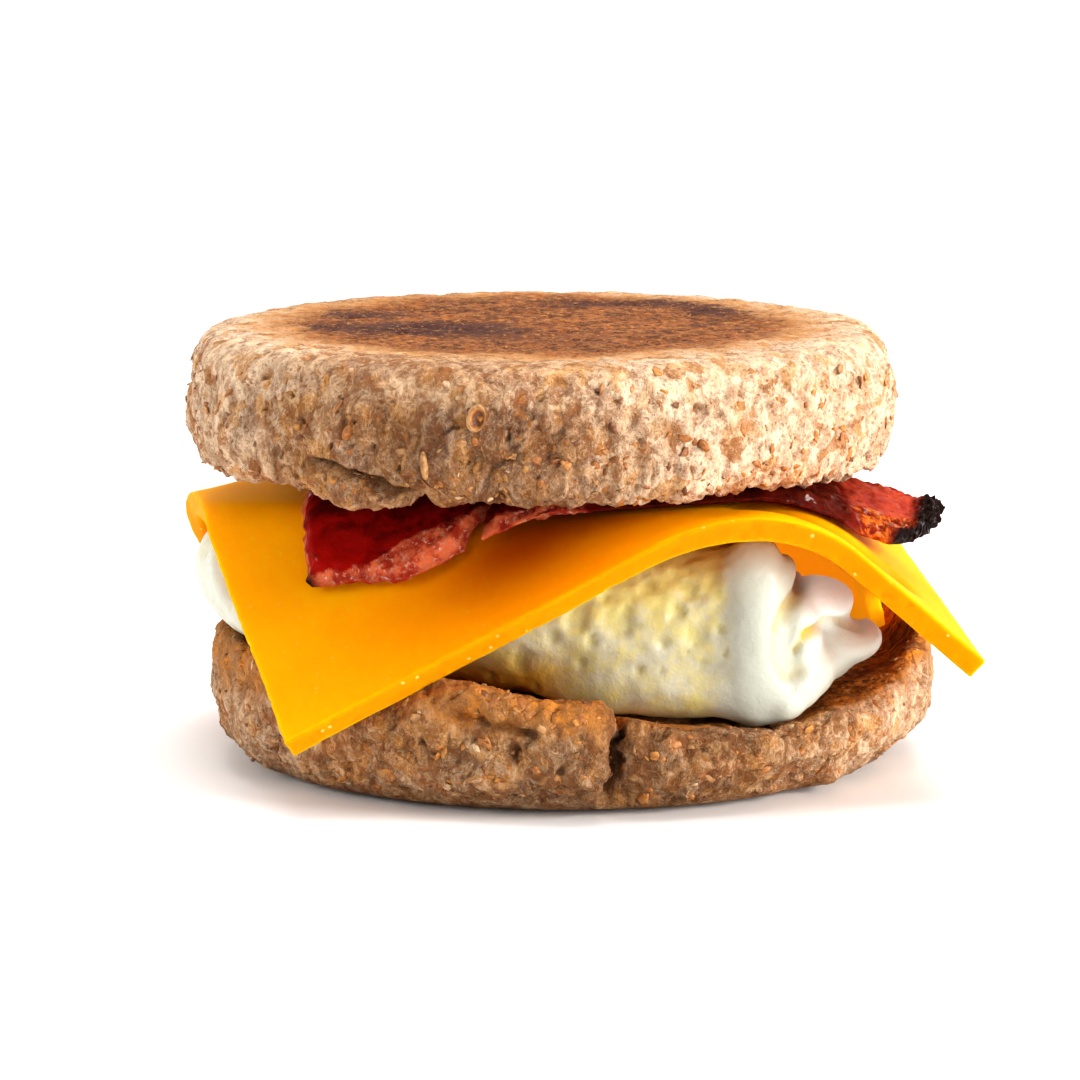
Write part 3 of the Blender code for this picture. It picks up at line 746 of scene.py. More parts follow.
class SANDWICH_OT_muffin_top(bpy.types.Operator):
    """Top half of the muffin, griddled on its crown"""

    bl_idname = "sandwich.muffin_top"
    bl_label = "Top half"

    def execute(self, context):
        settings = context.scene.sandwich_bread
        mesh = crust_skin(
            "muffin_top", settings.cell, TOP_CENTRE,
            lambda reach, height: (reach > 41.0) | (height > 50.0),
        )
        p, n = points_of(mesh), normals_of(mesh)
        # z is a view, so it follows the points as they move
        z = p[:, 2]
        reach, angle = polar(p, TOP_CENTRE)
        crown = ease(52.2, 55.8, z + 0.7 * field(p, 5.0, 71.0))
        height, pits = crust_relief(p, 19.0, 1.0 - 0.6 * crown)
        grooves = np.stack([angle * 0.8 / 1.7, z / 7.0, 0.0 * angle], 1)
        height += 0.6 * field(grooves, 1.0, 91.0) * bell(angle + 52.0, 48.0) * (1.0 - crown)

        # the torn flap stands out under its crevice
        split = crevice(angle, z + 0.4 * field(p, 2.0, 93.0), TOP_CREVICE, 0.5)
        under = np.interp(angle, *np.array(TOP_CREVICE).T, left=0.0, right=0.0)
        flap = ease(0.0, 0.8, under - z) * (z > 38.5) * (under > 1.0)
        height += 0.55 * flap
        height -= 1.9 * split

        # the lower rim hangs in a ragged fringe, with a notch at the flap's end
        hang = ease(44.0, 39.5, z) * ease(38.0, 42.0, reach)
        fringe = 0.5 + 0.9 * np.maximum(0.0, field(p, 2.4, 95.0))
        fringe += 0.5 * field(p, 1.1, 97.0)
        fringe -= 0.8 * bell(angle + 109.0, 1.2)
        p += n * height[:, None]
        z -= hang * fringe
        move_points(mesh, p)

        middle = np.hypot(p[:, 0] - CROWN_CENTRE[0], p[:, 1] - CROWN_CENTRE[1])
        middle += 2.5 * field(p, 9.0, 77.0)
        ring = 1.0 - ease(24.0, 43.0, middle)
        char = 0.5 * ease(-0.1, 0.5, field(p, 11.0, 84.0) + 0.6 * field(p, 4.0, 87.0)) - 0.12
        for x, y, size in CHARRED:
            char += 0.9 * bell(np.hypot(p[:, 0] - x, 1.2 * (p[:, 1] - y)), size)
        char *= 1.0 - ease(28.0, 40.0, middle)
        # flour and painted light: paler on the right and left sides, on the shoulder and on the
        # flap, where the lights fall
        flour = 0.12 + 0.88 * ease(-92.0, -60.0, angle) * ease(100.0, 60.0, angle)
        flour += 0.6 * (ease(-122.0, -150.0, angle) + ease(135.0, 180.0, angle))
        flour += 0.26 * ease(49.0, 52.5, z) + 0.25 * flap
        # painted shade in the pits and crevice, and darker in front below the crown
        keep_values(
            mesh, deep=np.maximum(pits, split), toast=crown * (0.12 + 0.88 * ring), char=char,
            flour=flour, shade=0.70 * bell(angle + 100.0, 24.0) * ease(53.0, 48.0, z),
        )
        material = bread_finish(
            "top crust", settings, settings.crumb, settings.toast, settings.shoulder
        )
        finished("top_half", mesh, material, "muffin_top", "muffin_top")

        bran = flake_finish()
        weight = ease(41.0, 44.0, reach) * (1.0 - 0.8 * crown)
        flakes = strewn(mesh, weight, settings.flakes, FLAKE_LONGEST, tilt=0.08, seed=6)
        finished("top_flakes", flakes, bran, "muffin_top")
        weight = ease(43.0, 45.0, reach) * ease(42.5, 40.5, z)
        crumbs = strewn(mesh, weight, RIM_CRUMBS, CRUMB_LONGEST, tilt=0.3, seed=7)
        finished("top_rim_crumbs", crumbs, bran, "muffin_top")
        finished("top_seeds", seeds(mesh, TOP_CENTRE, SEEDS), bran, "muffin_top")
        return {"FINISHED"}


# Cheese

SLICE_TURN = radians(10.2)
SLICE_CENTRE = Vector((0.55, 5.1, 34.4))
SLICE_TILT = (tan(radians(2.5)), tan(radians(-0.5)))
# For each corner: its direction, the bend's distance from the middle, angle and radius
SLICE_BENDS = (
    (radians(230.7), 30.5, radians(43.8), 9.6),
    (radians(-10.3), 21.0, radians(42.9), 20.0),
    (radians(136.1), 40.8, radians(70.0), 9.1),
    (radians(50.0), 44.0, radians(66.0), 10.0),
)
# Shallow valley in the slice, in its flat square: across and along
SLICE_VALLEY = ((15.0, -37.5), (22.0, -41.0), (29.0, -42.0), (35.0, -39.5), (38.0, -37.0))
SLICE_CELL = 0.72
BACK_CELL = 0.35
# How brightly the piece behind the egg glows: a painted glow that stands in for light shining
# through
BACK_PAINTED_GLOW = 0.43


def bent(s, t):
    """Middle surface of the draped slice, s and t from the middle of the flat square."""
    x, y, z = s, t, 0.0
    for way, start, angle, radius in SLICE_BENDS:
        nx, ny = cos(way), sin(way)
        u = s * nx + t * ny - start
        if u <= 0.0:
            continue
        arc = min(u / radius, angle)
        rest = max(0.0, u - radius * angle)
        move = radius * sin(arc) + rest * cos(angle) - u
        x += move * nx
        y += move * ny
        z -= radius * (1.0 - cos(arc)) + rest * sin(angle)
    p = Matrix.Rotation(SLICE_TURN, 3, "Z") @ Vector((x, y, z))
    p.z += SLICE_TILT[0] * p.x + SLICE_TILT[1] * p.y
    return p + SLICE_CENTRE


def bent_normal(s, t):
    step = 0.3
    a = bent(s + step, t) - bent(s - step, t)
    b = bent(s, t + step) - bent(s, t - step)
    return a.cross(b).normalized()


def slice_search(side):
    """Search tree of the slice's middle surface."""
    shape = bmesh.new()
    bmesh.ops.create_grid(shape, x_segments=80, y_segments=80, size=side / 2.0)
    for v in shape.verts:
        v.co = bent(-v.co.y, v.co.x)
    shape.normal_update()
    tree = BVHTree.FromBMesh(shape)
    shape.free()
    return tree


def cheese_finish(name, settings, glow):
    """Smooth waxy cheese, pitted where it is cut, with painted shade there, and a painted glow."""
    f = Finish(
        name, Subsurface_Weight=0.9, Subsurface_Scale=0.005,
        Subsurface_Radius=(1.0, 0.52, 0.05), Specular_IOR_Level=0.015,
        # painted glow: emission that stands in for light through the cheese
        Emission_Color=(1.0, 0.44, 0.01), Emission_Strength=glow,
    )
    cut = f.value("cut")
    ripe = Vector(settings.colour)
    cloud = f.noise(14.0, 2.0)
    fine = f.noise(1.2, 3.0)
    speck = f.part(f.cells(0.9, "Color"), "Red").ease(0.9, 0.94)
    speck = speck * (1.0 - f.cells(0.9).ease(0.2, 0.35))
    colour = f.layered(
        f.mix(cloud.ease(0.35, 0.65), ripe * 0.97, ripe * 1.03),
        ((fine - 0.5).ease(0.0, 0.4) * 0.25, (0.97, 0.42, 0.002)),
        # painted shade: the cut rim is painted darker
        (cut * 0.85, (0.80, 0.225, 0.002)),
        # painted shade: darker towards the right, where the key light falls
        (f.value("ripe"), (0.86, 0.235, 0.0002)),
        (speck * (0.12 + 0.38 * cut), (1.0, 0.70, 0.22)),
        # painted shadow under the bacon and the top half, and in the valley
        (f.value("stain"), (0.36, 0.060, 0.0)),
    )
    f.paint(Base_Color=colour, Roughness=0.40 + 0.2 * fine)
    f.bump(fine + 0.5 * f.noise(0.4, 2.0), 0.05)
    return f.material


class SANDWICH_OT_cheese(bpy.types.Operator):
    """Cheese slice draped over the egg, and the piece of another behind it"""

    bl_idname = "sandwich.cheese"
    bl_label = "Cheese"

    def execute(self, context):
        settings = context.scene.sandwich_cheese
        side, thick = settings.side / MM, settings.thickness / MM
        mesh, flat = board(side, side, thick, SLICE_CELL, rim_cuts=4)
        half = side / 2.0
        inside = half - np.abs(flat[:, :2]).max(1)
        cut = 1.0 - ease(0.02, 0.3, inside)
        sway = 0.25 * field(flat, 9.0, 5.0) + 0.12 * field(flat, 2.0, 8.0)
        dimple = ease(0.3, 0.55, field(flat, 1.1, 9.0)) * cut * 0.22
        fold = near_path(flat[:, 0], flat[:, 1], SLICE_VALLEY, 2.6)
        lift = (0.10 * field(flat, 12.0, 2.0) + 0.03 * field(flat, 3.0, 4.0)) * (1.0 - cut)
        lift -= 0.8 * fold * (1.0 - cut)
        points = []
        for k, (s, t, w) in enumerate(flat):
            trim = (sway[k] - dimple[k]) * bell(inside[k], 2.0)
            s += trim * ease(half - 4.0, half, abs(s)) * np.sign(s)
            t += trim * ease(half - 4.0, half, abs(t)) * np.sign(t)
            points.append(bent(s, t) + bent_normal(s, t) * (w + lift[k]))
        move_points(mesh, np.array(points))
        # painted shadow near the bacon and along the valley, and painted shade darker towards the
        # right
        near_bacon = bell(np.hypot((flat[:, 0] + 13.0) / 15.0, (flat[:, 1] + 38.0) / 8.5), 1.0)
        stain = np.maximum(near_bacon, 0.62 * fold) * (1.0 - cut)
        keep_values(mesh, cut=cut, stain=stain, ripe=0.65 * ease(8.0, 34.0, flat[:, 0]))
        material = cheese_finish("cheese", settings, 0.0)
        finished("cheese_slice_front", mesh, material, "cheese", "cheese_slice")

        mesh = skin_round(loose_copy("cheese_back"), BACK_CELL, rounds=3)
        p, n = points_of(mesh), normals_of(mesh)
        p += n * (0.12 * field(p, 2.2, 6.0))[:, None]
        move_points(mesh, p)
        none = np.zeros(len(p))
        # the back piece's cut edges are painted darker too, a painted shade
        keep_values(mesh, cut=ease(0.3, 0.8, np.abs(n[:, 2])), stain=none, ripe=none)
        behind = cheese_finish("cheese behind", settings, BACK_PAINTED_GLOW)
        finished("cheese_piece_back", mesh, behind, "cheese", "cheese_back")
        return {"FINISHED"}


# Egg

# Rolled layers of the open right end: middle, half sizes, turn about Z, tilt about Y
EGG_ROLLS = (
    ((24.0, -33.2, 22.4), (3.4, 4.4, 11.4), 0.0, 0.0),
    ((25.3, -31.2, 27.0), (2.4, 4.6, 4.4), 0.0, radians(24.0)),
    ((30.6, -23.8, 24.0), (4.6, 8.8, 2.9), radians(-22.0), radians(12.0)),
    ((34.2, -21.0, 18.5), (4.8, 8.8, 3.0), radians(-22.0), radians(8.0)),
    ((32.4, -24.6, 16.9), (3.4, 7.0, 3.0), radians(-20.0), radians(-40.0)),
    ((29.0, -28.8, 16.2), (4.3, 6.4, 4.2), radians(-18.0), radians(-40.0)),
    ((26.6, -32.2, 13.0), (3.2, 5.0, 2.8), 0.0, radians(-25.0)),
    ((28.2, -30.4, 14.6), (4.0, 5.8, 3.4), radians(-8.0), radians(-44.0)),
    ((27.6, -30.0, 21.0), (3.8, 6.0, 5.6), 0.0, 0.0),
    ((31.5, 4.0, 16.0), (4.4, 12.0, 3.6), radians(14.0), 0.0),
)
# Creases between the layers, seen from the front: places across and up, width and depth
EGG_CREASES = (
    (((29.4, 29.0), (28.4, 26.6), (26.9, 25.2), (25.9, 23.0)), 0.75, 0.8),
    (
        ((36.8, 20.6), (34.0, 21.6), (31.9, 22.5), (30.2, 22.0), (28.8, 20.7), (27.9, 19.2)),
        0.5, 0.9,
    ),
    (((26.9, 25.2), (25.4, 22.4), (25.1, 19.0), (26.6, 16.8), (28.4, 17.2)), 0.8, 0.35),
)
# Shallow pores in front: place across and up, and radius
PORES = (
    (0.6, 24.2, 2.0), (6.2, 23.3, 2.3), (13.0, 24.7, 1.3), (11.3, 20.9, 1.0), (15.2, 21.6, 1.7),
    (14.6, 27.2, 1.4), (9.6, 27.9, 1.0), (2.6, 21.2, 0.8), (-6.3, 18.7, 1.4), (-9.9, 16.4, 0.7),
    (18.4, 22.6, 0.7), (1.2, 18.4, 0.6), (8.4, 17.5, 0.7), (-2.3, 21.4, 1.1), (16.3, 18.2, 0.6),
    (19.0, 19.6, 0.6), (-4.4, 15.7, 0.6), (11.2, 17.3, 0.5), (4.0, 26.6, 0.8),
)


def egg_finish(settings):
    """Set egg white with streaks of yolk, wet enough to shine."""
    f = Finish(
        "egg", Subsurface_Weight=0.25, Subsurface_Scale=0.0015,
        Subsurface_Radius=(1.0, 0.95, 0.8), Specular_IOR_Level=0.3, Coat_Roughness=0.12,
        Emission_Strength=0.25,
    )
    yolk, bright = f.value("yolk"), f.value("bright")
    white = Vector(settings.white)
    fine = f.noise(0.9, 3.0)
    patch = f.noise(3.6, 4.0, f.warped(3.0, 2.0), Roughness=0.6)
    streaks = (yolk + (patch - 0.5) * 1.7 + (fine - 0.5) * 0.5).ease(0.20, 0.95)
    colour = f.layered(
        f.mix(fine.ease(0.3, 0.7), white * 0.94, white * 1.03),
        (streaks * 0.8, Vector(settings.yolk)),
        (f.value("cool"), (0.455, 0.468, 0.40)),
        # painted light on the rolled layers under the slice and at the far left
        (bright, (0.88, 0.93, 0.88)),
        # painted shadow of the cheese on the egg's lower left
        (f.value("shade"), (0.50, 0.25, 0.008)),
        (f.value("crease"), (0.66, 0.47, 0.05)),
        # painted shade in the pores and small dents
        (f.value("deep") * 0.55, (0.46, 0.39, 0.11)),
    )
    glint = f.part(f.cells(0.8, "Color"), "Red").ease(0.86, 0.92)
    f.paint(
        Base_Color=colour, Roughness=0.28 + 0.3 * fine,
        Coat_Weight=0.1 + 0.5 * glint * yolk.ease(0.1, 0.4),
        # painted glow on the same places
        Emission_Color=f.mix(bright, (0.0, 0.0, 0.0), (0.74, 0.94, 0.98)),
    )
    f.bump(fine + 0.5 * f.noise(0.4, 2.0) + 0.4 * patch, 0.09)
    return f.material


def egg_shape():
    """The packet in a bmesh, drawn back and sunk behind its rolls, with the rolls."""
    shape = loose_copy("egg")
    for v in shape.verts:
        sink = 0.7 * float(ease(20.0, 30.0, v.co.x / MM) * ease(-14.0, -8.0, v.co.y / MM))
        v.co.z -= sink * max(0.0, v.co.z - 15.0 * MM)
        v.co.x -= 0.6 * max(0.0, v.co.x - 26.0 * MM)
    for middle, half, turn, tilt in EGG_ROLLS:
        ball = bmesh.ops.create_icosphere(shape, subdivisions=4, radius=MM)
        place = Matrix.Translation(Vector(middle) * MM) @ Matrix.Rotation(turn, 4, "Z")
        place = place @ Matrix.Rotation(tilt, 4, "Y") @ Matrix.Diagonal((*half, 1.0))
        bmesh.ops.transform(shape, matrix=place, verts=ball["verts"])
    return shape


class SANDWICH_OT_egg(bpy.types.Operator):
    """Folded egg with its pores and the rolled layers of its open end"""

    bl_idname = "sandwich.egg"
    bl_label = "Egg"

    def execute(self, context):
        settings = context.scene.sandwich_egg
        mesh = skin_round(egg_shape(), settings.cell, rounds=9)
        p, n = points_of(mesh), normals_of(mesh)
        # x and z are views, so they follow the points as they move
        x, z = p[:, 0], p[:, 2]
        front = ease(-0.2, 0.6, -n[:, 1])
        ahead = ease(-8.0, -16.0, p[:, 1])
        right = ease(17.0, 21.5, x + 1.2 * field(p, 4.0, 31.0))
        left = 1.0 - right
        foam = left * ease(21.0, 29.0, z)
        height = (0.20 * field(p, 4.0, 33.0) + 0.16 * field(p, 1.9, 35.0)) * left
        height += 0.30 * foam * field(p, 1.5, 37.0) + 0.10 * field(p, 6.0, 39.0)

        deep = np.zeros(len(p))
        uneven = 1.0 + 0.5 * field(p, 1.6, 43.0) + 0.3 * field(p, 0.8, 44.0)
        for across, up, radius in PORES:
            away = np.hypot(x - across, 0.9 * (z - up)) / radius * uneven
            pore = front * (0.6 + 0.15 * radius) * (1.0 - ease(0.4, 1.1, away))
            deep = np.maximum(deep, pore)
        small = ease(0.42, 0.62, field(p, 1.3, 41.0)) * left
        height -= 0.58 * deep + 0.08 * small

        crease = np.zeros(len(p))
        for path, width, depth in EGG_CREASES:
            line = near_path(x, z, path, width) * ahead
            height -= depth * line
            crease = np.maximum(crease, line * min(1.0, depth))
        hole = bell(np.hypot((x - 30.0) / 1.25, (z - 21.9) / 0.75), 1.0) * ahead
        hollow = bell(np.hypot((x - 26.9) / 1.7, (z - 20.2) / 3.3), 1.0) * ahead
        height -= 1.0 * hole + 0.7 * hollow
        p += n * height[:, None]
        z -= 1.2 * bell(x + 6.0, 9.0) * bell(z - 14.0, 3.5) * front
        move_points(mesh, p)

        far = ease(-34.0, -41.0, x)
        yolk = 0.50 * left * ease(44.0, 12.0, np.abs(x - 5.0)) + 0.45 * foam + 0.5 * hollow
        yolk += 0.3 * right * (1.0 - ahead) + 0.4 * far * ease(24.0, 15.0, z)
        # painted shadow of the cheese on the lower left
        corner = ease(4.0, -6.0, x) * ease(21.5, 15.0, z) * ahead * ease(-30.0, -20.0, x)
        # painted light on the rolled layers under the slice, and at the far left
        lit = ease(15.0, 28.0, z) * ease(27.5, 31.5, x) * ahead
        # deep also paints shade in the pores and dents
        keep_values(
            mesh, deep=np.maximum(deep, 0.7 * small), yolk=yolk, cool=0.85 * right * ahead,
            shade=0.95 * corner, bright=lit + 0.22 * far,
            crease=np.clip(0.55 * crease + hole, 0.0, 1.0),
        )
        finished("folded_egg", mesh, egg_finish(settings), "egg", "egg")
        return {"FINISHED"}


# Bacon

RASHER_CELL = 0.36
# How far the underside of the left rasher stays above the middle of the slice
OVER_SLICE = 1.82

# Left rasher: length across the front and width towards the back, both laid flat, the front
# edge of its hanging end on the flat slice, and the way it runs back
LEFT_SIZE = (26.0, 55.0)
LEFT_END = ((-40.6, -27.6), (-34.8, -31.4), (-28.0, -35.5), (-19.7, -34.9))
LEFT_RUN = Vector((0.24, 0.97))

# Right rasher: the same, and its front and back edges
RIGHT_SIZE = (64.0, 30.0)
RIGHT_FRONT = (
    (-11.4, -34.0, 30.0), (2.0, -34.8, 34.0), (17.0, -34.4, 37.0), (29.0, -32.0, 36.4),
    (37.5, -26.5, 33.0), (42.8, -20.0, 31.6), (46.2, -13.0, 31.8),
)
RIGHT_BACK = (
    (-7.0, -4.0, 37.7), (4.0, -2.0, 37.9), (16.0, -1.0, 38.1), (27.0, -1.5, 38.1),
    (36.0, -2.5, 37.0), (43.0, -4.2, 34.6), (47.6, -7.0, 32.9),
)


def bacon_finish(settings):
    """Fried bacon: dark glossy lean, wrinkled fat, and a seared and charred end."""
    f = Finish(
        "bacon", Subsurface_Weight=0.12, Subsurface_Scale=0.0015,
        Subsurface_Radius=(1.0, 0.2, 0.1), Specular_IOR_Level=0.02, Coat_Roughness=0.06,
    )
    vein = f.noise(2.6, 5.0, f.warped(4.0, 3.0), Roughness=0.6)
    fine = f.noise(0.6, 4.0, Roughness=0.65)
    lean = Vector(settings.lean)
    meat = f.layered(
        f.mix(vein.ease(0.3, 0.7), lean * 0.36, lean * 1.5),
        # painted light: the lean brighter red towards the front left, darker under the bread
        (f.value("glow") * 0.75, (0.38, 0.004, 0.001)),
        # painted glints: lighter specks in the lean
        (fine.ease(0.58, 0.75) * 0.4, (0.26, 0.014, 0.006)),
    )
    rind = f.layered(
        f.mix(vein.ease(0.40, 0.62), (0.30, 0.026, 0.012), Vector(settings.fat)),
        # pale specks in the fat: paler fat and painted highlights
        (fine.ease(0.52, 0.70) * 0.8, (0.78, 0.42, 0.30)),
    )
    pink = f.mix(vein.ease(0.3, 0.7), (0.28, 0.022, 0.012), (0.48, 0.075, 0.034))
    gold = (vein + (fine - 0.5) * 0.8).ease(0.42, 0.66)
    gold = f.mix(gold, (0.17, 0.012, 0.003), (0.62, 0.155, 0.018))

    fat = (f.value("fat") + (fine - 0.5) * 0.4 + (vein - 0.5) * 0.9).ease(0.3, 0.75)
    rose = (f.value("rose") + (fine - 0.5) * 0.5).ease(0.2, 0.8)
    amber = (f.value("amber") + (fine - 0.5) * 0.7).ease(0.3, 0.7)
    seared = f.value("char") + (fine - 0.5) * 0.7 + (vein - 0.5) * 0.5
    burnt = seared.ease(0.32, 0.78)
    colour = f.layered(
        meat, (fat, rind), (rose, pink), (amber, gold),
        # painted highlights on the amber
        (fine.ease(0.60, 0.72) * amber * 0.6, (0.80, 0.40, 0.26)),
        (seared.ease(-0.05, 0.42) * 0.85, (0.11, 0.010, 0.003)),
        (burnt, (0.010, 0.005, 0.004)),
    )
    drops = f.part(f.cells(0.7, "Color", f.warped(1.0, 0.6)), "Red").ease(0.80, 0.90)
    wet = 0.25 + 0.75 * (fat + amber + 0.8 * burnt)
    f.paint(
        Base_Color=colour, Roughness=0.35 + 0.4 * fine - 0.15 * burnt,
        Coat_Weight=0.02 + 0.8 * drops * wet,
    )
    f.bump(vein + fine * 0.7, 0.20)
    return f.material


def rasher(name, size, place, marks, node, material):
    """A thin board laid through place(u, v), with the colours that marks(u, v, flat) gives."""
    mesh, flat = board(*size, 1.0, RASHER_CELL, rim_cuts=2)
    u = np.clip(flat[:, 0] / size[0] + 0.5, 0.0, 1.0)
    v = np.clip(flat[:, 1] / size[1] + 0.5, 0.0, 1.0)
    values, relief, trim, thick = marks(u, v, flat)
    sheet = {}
    points = np.empty_like(flat)
    step = 0.004
    for k in range(len(flat)):
        key = (round(u[k], 4), round(v[k], 4))
        if key not in sheet:
            a = place(key[0] + step, key[1]) - place(key[0] - step, key[1])
            b = place(key[0], key[1] + step) - place(key[0], key[1] - step)
            sheet[key] = (place(*key), a.normalized(), b.normalized(), a.cross(b).normalized())
        low, across, back, normal = sheet[key]
        up = flat[k, 2] + 0.5
        rise = up * thick[k] + relief[k] * ease(0.2, 0.8, up)
        points[k] = low + across * trim[k, 0] + back * trim[k, 1] + normal * rise
    move_points(mesh, points)
    keep_values(mesh, **values)
    finished(name, mesh, material, "bacon", node)


def ragged(flat, size, seed):
    """How far each point is from the rim, and a ragged trim that moves the rim about."""
    away = np.array(size) / 2.0 - np.abs(flat[:, :2])
    sway = 0.55 * field(flat, 3.2, seed) + 0.35 * field(flat, 1.3, seed + 1.0)
    trim = -np.sign(flat[:, :2]) * bell(away, 1.8) * (0.35 + sway)[:, None]
    return away.min(1), trim


def left_place(u, v):
    """Underside of the left rasher: on the slice, its end hanging over the front."""
    spread = 5.0 * float(ease(0.02, 0.16, v)) - 4.0 * float(ease(0.3, 0.6, v))
    sway = 0.8 * sin(9.0 * v + 1.0) * (1.0 - u) + (0.7 * sin(8.0 * v) + 1.6 * v + spread) * u * u
    p = along(LEFT_END, u) + LEFT_RUN * (LEFT_SIZE[1] * v) + Vector((sway, 0.0))
    wave = 0.42 + 0.30 * sin(11.0 * v + 2.0 * u) + 0.20 * sin(9.0 * u + 5.0 * v)
    wave *= float(ease(1.0, 0.7, u))
    return bent(p.x, p.y) + bent_normal(p.x, p.y) * (OVER_SLICE + max(0.0, wave))


def left_marks(u, v, flat):
    """Lean with fat along its left, front and right edges, and blisters between."""
    length_flat, width_flat = LEFT_SIZE
    across, back = u * length_flat, v * width_flat
    wobble = 1.1 * field(flat, 4.0, 51.0) + 0.5 * field(flat, 1.8, 52.0)
    fat = 0.75 * (1.0 - ease(0.4, 1.5, across + 0.6 * wobble))
    front = 1.4 + 3.6 * ease(9.0, 17.0, across)
    fat = np.maximum(fat, 1.0 - ease(front - 0.9, front + 1.2, back + wobble))
    side = length_flat - across + 0.5 * back + wobble
    fat = np.maximum(fat, 1.0 - ease(1.2, 3.4, side))
    rim, trim = ragged(flat, LEFT_SIZE, 56.0)
    bubbles = ease(0.35, 0.62, field(flat, 2.6, 55.0)) * (1.0 - fat)
    relief = 0.28 * field(flat, 3.0, 53.0) + fat * 0.30 * field(flat, 1.3, 54.0) + 0.5 * bubbles
    thick = 0.7 + 1.0 * ease(0.0, 2.6, rim)
    thick *= 1.0 - 0.45 * ease(0.75, 1.0, u) * ease(0.05, 0.15, v)
    seared = 0.9 * bell(np.hypot(across, back), 1.6) + 0.12 * bell(rim, 0.4)
    # painted light: brighter towards the front left of the hanging end
    glow = (1.0 - fat) * ease(13.0, 4.0, back + 0.5 * across + 2.0 * wobble)
    none = np.zeros(len(u))
    char = 0.45 * bubbles + seared
    marks = {"fat": fat, "char": char, "rose": none, "amber": none, "glow": glow}
    return marks, relief, trim, thick


def right_over(search):
    """Underside of the right rasher: between its two edges, always above the slice."""

    def place(u, v):
        p = along(RIGHT_FRONT, u).lerp(along(RIGHT_BACK, u), v)
        p.y += 2.8 * (1.0 - v) * float(ease(0.12, 0.3, u) * ease(0.80, 0.55, u))
        p.z += 0.16 * sin(14.0 * u + 3.0 * v) - 1.1
        p.z += 0.35 * float(ease(0.6, 1.0, u)) * sin(7.0 * v + 9.0 * u)
        over = 1.95 + 0.9 * float(ease(0.22, 0.08, u))
        hit, normal, _, _ = search.ray_cast(Vector((p.x, p.y, 80.0)), DOWN)
        if hit:
            p.z = max(p.z, hit.z + over / max(0.5, abs(normal.z)))
        return p

    return place


def right_marks(u, v, flat):
    """Dark blistered run, then an end of rosy lean with amber edges and a charred tip."""
    length_flat, width_flat = RIGHT_SIZE
    run, back = u * length_flat, v * width_flat
    wobble = 0.9 * field(flat, 3.6, 61.0) + 0.5 * field(flat, 1.6, 62.0)
    end = ease(37.0, 41.5, run + wobble)
    tip = ease(51.5, 57.5, run - 0.10 * back + 1.6 * wobble)
    lower = ease(45.0, 50.0, run) * (1.0 - ease(0.8, 4.6, back + 1.2 * wobble))
    upper = 0.6 * ease(50.0, 58.0, run) * (1.0 - ease(0.4, 1.8, width_flat - back + wobble))
    char = np.maximum(np.maximum(tip, lower), upper)
    fat = (1.0 - ease(9.0, 12.0, run + wobble)) * (1.0 - ease(1.0, 2.2, back + 0.6 * wobble))
    amber = end * (1.0 - ease(8.0, 14.0, back + 1.8 * wobble)) * (1.0 - char)
    amber = np.maximum(amber, 0.8 * end * ease(25.0, 29.0, back + wobble) * (1.0 - char))
    rose = end * (1.0 - amber) * (1.0 - char) * ease(37.5, 41.0, run + wobble)
    dry = (1.0 - end) * (1.0 - fat) * (0.52 - 0.32 * bell(run, 12.0))
    blister = (1.0 - end) * ease(14.0, 22.0, run) * ease(0.10, 0.40, field(flat, 2.6, 68.0))
    amber = np.maximum(amber, 0.75 * blister)
    rim, trim = ragged(flat, RIGHT_SIZE, 66.0)
    trim *= (1.0 + 2.2 * tip * tip)[:, None]
    relief = 0.28 * field(flat, 3.4, 63.0) + 0.16 * field(flat, 1.3, 64.0)
    relief += (0.75 * char + 0.50 * amber) * field(flat, 1.2, 65.0) + 0.5 * blister
    thick = 0.6 + 0.9 * ease(0.0, 2.4, rim) + 0.7 * char
    char = np.maximum(char, dry)
    marks = {"fat": fat, "char": char, "rose": rose, "amber": amber, "glow": 0.0 * u}
    return marks, relief, trim, thick


class SANDWICH_OT_bacon(bpy.types.Operator):
    """Two rashers of bacon on the cheese"""

    bl_idname = "sandwich.bacon"
    bl_label = "Bacon"

    def execute(self, context):
        material = bacon_finish(context.scene.sandwich_bacon)
        over = right_over(slice_search(context.scene.sandwich_cheese.side / MM))
        rasher("rasher_left", LEFT_SIZE, left_place, left_marks, "bacon_left", material)
        rasher("rasher_right", RIGHT_SIZE, over, right_marks, "bacon_right", material)
        return {"FINISHED"}


# Stage, in metres

# Soft lights: setting that holds the power, place, width, height and colour
LIGHTS = (
    ("key", (1.00, -0.42, 0.36), 0.45, 0.50, (1.0, 0.97, 0.93)),
    ("top", (0.05, 0.10, 1.1), 0.8, 0.6, (1.0, 0.98, 0.95)),
    ("fill", (0.72, -0.95, 0.15), 0.7, 0.3, (0.95, 0.97, 1.0)),
    ("left", (-1.0, -0.25, 0.4), 0.5, 0.5, (1.0, 0.99, 0.97)),
)
LIGHTS_AIM = Vector((0.0, 0.0, 0.03))
FLOOR_RADIUS = 3.0
# Where the floor starts to fade into the white room, and where it is gone
FLOOR_FADE = (0.16, 0.55)
CAMERA_PLACE = (0.0, -0.700, 0.138)
CAMERA_TURN = Euler((radians(90.0 - 8.933), 0.0, radians(0.338)))
CAMERA_LENS = 180.83


def soft_light(name, place, width, height, colour, watts):
    lamp = bpy.data.lights.new(name, "AREA")
    lamp.shape = "RECTANGLE"
    lamp.size = width
    lamp.size_y = height
    lamp.energy = watts
    lamp.color = colour
    obj = linked(name, lamp)
    obj.location = place
    obj.rotation_euler = (LIGHTS_AIM - Vector(place)).to_track_quat("-Z", "Y").to_euler()


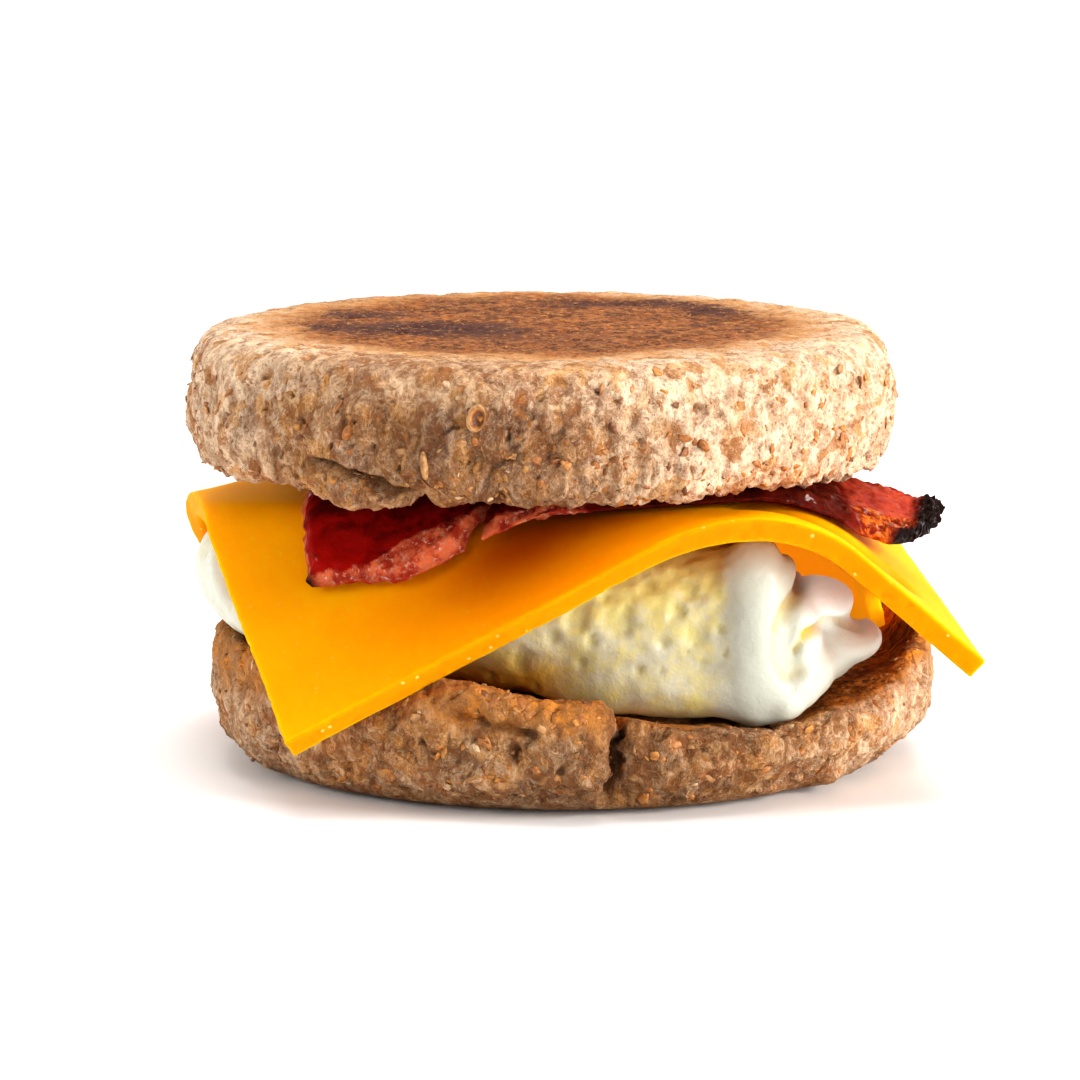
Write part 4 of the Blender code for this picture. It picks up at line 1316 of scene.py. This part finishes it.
def floor_disc(colour):
    """Round floor that fades away to its rim."""
    shape = bmesh.new()
    bmesh.ops.create_circle(shape, cap_ends=True, segments=64, radius=FLOOR_RADIUS)
    mesh = mesh_of(shape, "floor")
    f = Finish("floor", Roughness=0.7, Specular_IOR_Level=0.2)
    away = f.vector("LENGTH", f.place, output="Value")
    f.paint(Base_Color=colour, Alpha=1.0 - away.ease(*FLOOR_FADE))
    mesh.materials.append(f.material)
    return linked("floor", mesh)


def room(strength):
    """White room, dimmer on the side of the camera."""
    world = bpy.data.worlds.new("room")
    world.use_nodes = True
    nodes = Nodes(world.node_tree)
    way = nodes.node("ShaderNodeTexCoord", {}, {}, "Generated")
    back = nodes.node("ShaderNodeSeparateXYZ", {}, {"Vector": way}, "Y")
    sky = nodes.tree.nodes["Background"].inputs
    nodes.feed(sky["Color"], (1.0, 1.0, 1.0))
    nodes.feed(sky["Strength"], (0.36 + 0.64 * back.ease(-0.4, 0.6)) * strength)
    return world


class SANDWICH_OT_stage(bpy.types.Operator):
    """Pale floor, soft light and the camera"""

    bl_idname = "sandwich.stage"
    bl_label = "Stage"

    def execute(self, context):
        settings = context.scene.sandwich_stage
        scene = context.scene
        floor_disc(tuple(settings.floor))
        scene.world = room(settings.sky)
        for name, *light in LIGHTS:
            soft_light(name, *light, getattr(settings, name))
        scene.view_settings.view_transform = "Standard"
        scene.view_settings.look = "Medium High Contrast"

        lens = bpy.data.cameras.new("camera")
        lens.sensor_width = 36.0
        lens.lens = CAMERA_LENS
        lens.clip_start = 0.05
        camera = linked("camera", lens)
        camera.location = CAMERA_PLACE
        camera.rotation_euler = CAMERA_TURN
        scene.camera = camera
        return {"FINISHED"}


class SANDWICH_PT_panel(bpy.types.Panel):
    """Lists the pieces and their settings"""

    bl_label = "Sandwich"
    bl_space_type = "VIEW_3D"
    bl_region_type = "UI"
    bl_category = "Sandwich"

    def draw(self, context):
        for operator in OPERATORS:
            self.layout.operator(operator.bl_idname)
        for group in SETTINGS:
            settings = getattr(context.scene, group)
            for name in SETTINGS[group].__annotations__:
                self.layout.prop(settings, name)


SETTINGS = {
    "sandwich_stage": StageSettings,
    "sandwich_bread": BreadSettings,
    "sandwich_egg": EggSettings,
    "sandwich_cheese": CheeseSettings,
    "sandwich_bacon": BaconSettings,
}
OPERATORS = (
    SANDWICH_OT_muffin_bottom,
    SANDWICH_OT_egg,
    SANDWICH_OT_cheese,
    SANDWICH_OT_bacon,
    SANDWICH_OT_muffin_top,
    SANDWICH_OT_stage,
)


def register():
    for group in SETTINGS:
        bpy.utils.register_class(SETTINGS[group])
        setattr(bpy.types.Scene, group, bpy.props.PointerProperty(type=SETTINGS[group]))
    for operator in OPERATORS:
        bpy.utils.register_class(operator)
    bpy.utils.register_class(SANDWICH_PT_panel)


def unregister():
    bpy.utils.unregister_class(SANDWICH_PT_panel)
    for operator in reversed(OPERATORS):
        bpy.utils.unregister_class(operator)
    for group in SETTINGS:
        delattr(bpy.types.Scene, group)
        bpy.utils.unregister_class(SETTINGS[group])


def main():
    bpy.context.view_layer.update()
    register()
    bpy.ops.sandwich.muffin_bottom()
    bpy.ops.sandwich.egg()
    bpy.ops.sandwich.cheese()
    bpy.ops.sandwich.bacon()
    bpy.ops.sandwich.muffin_top()
    bpy.ops.sandwich.stage()


if __name__ == "__main__":
    main()
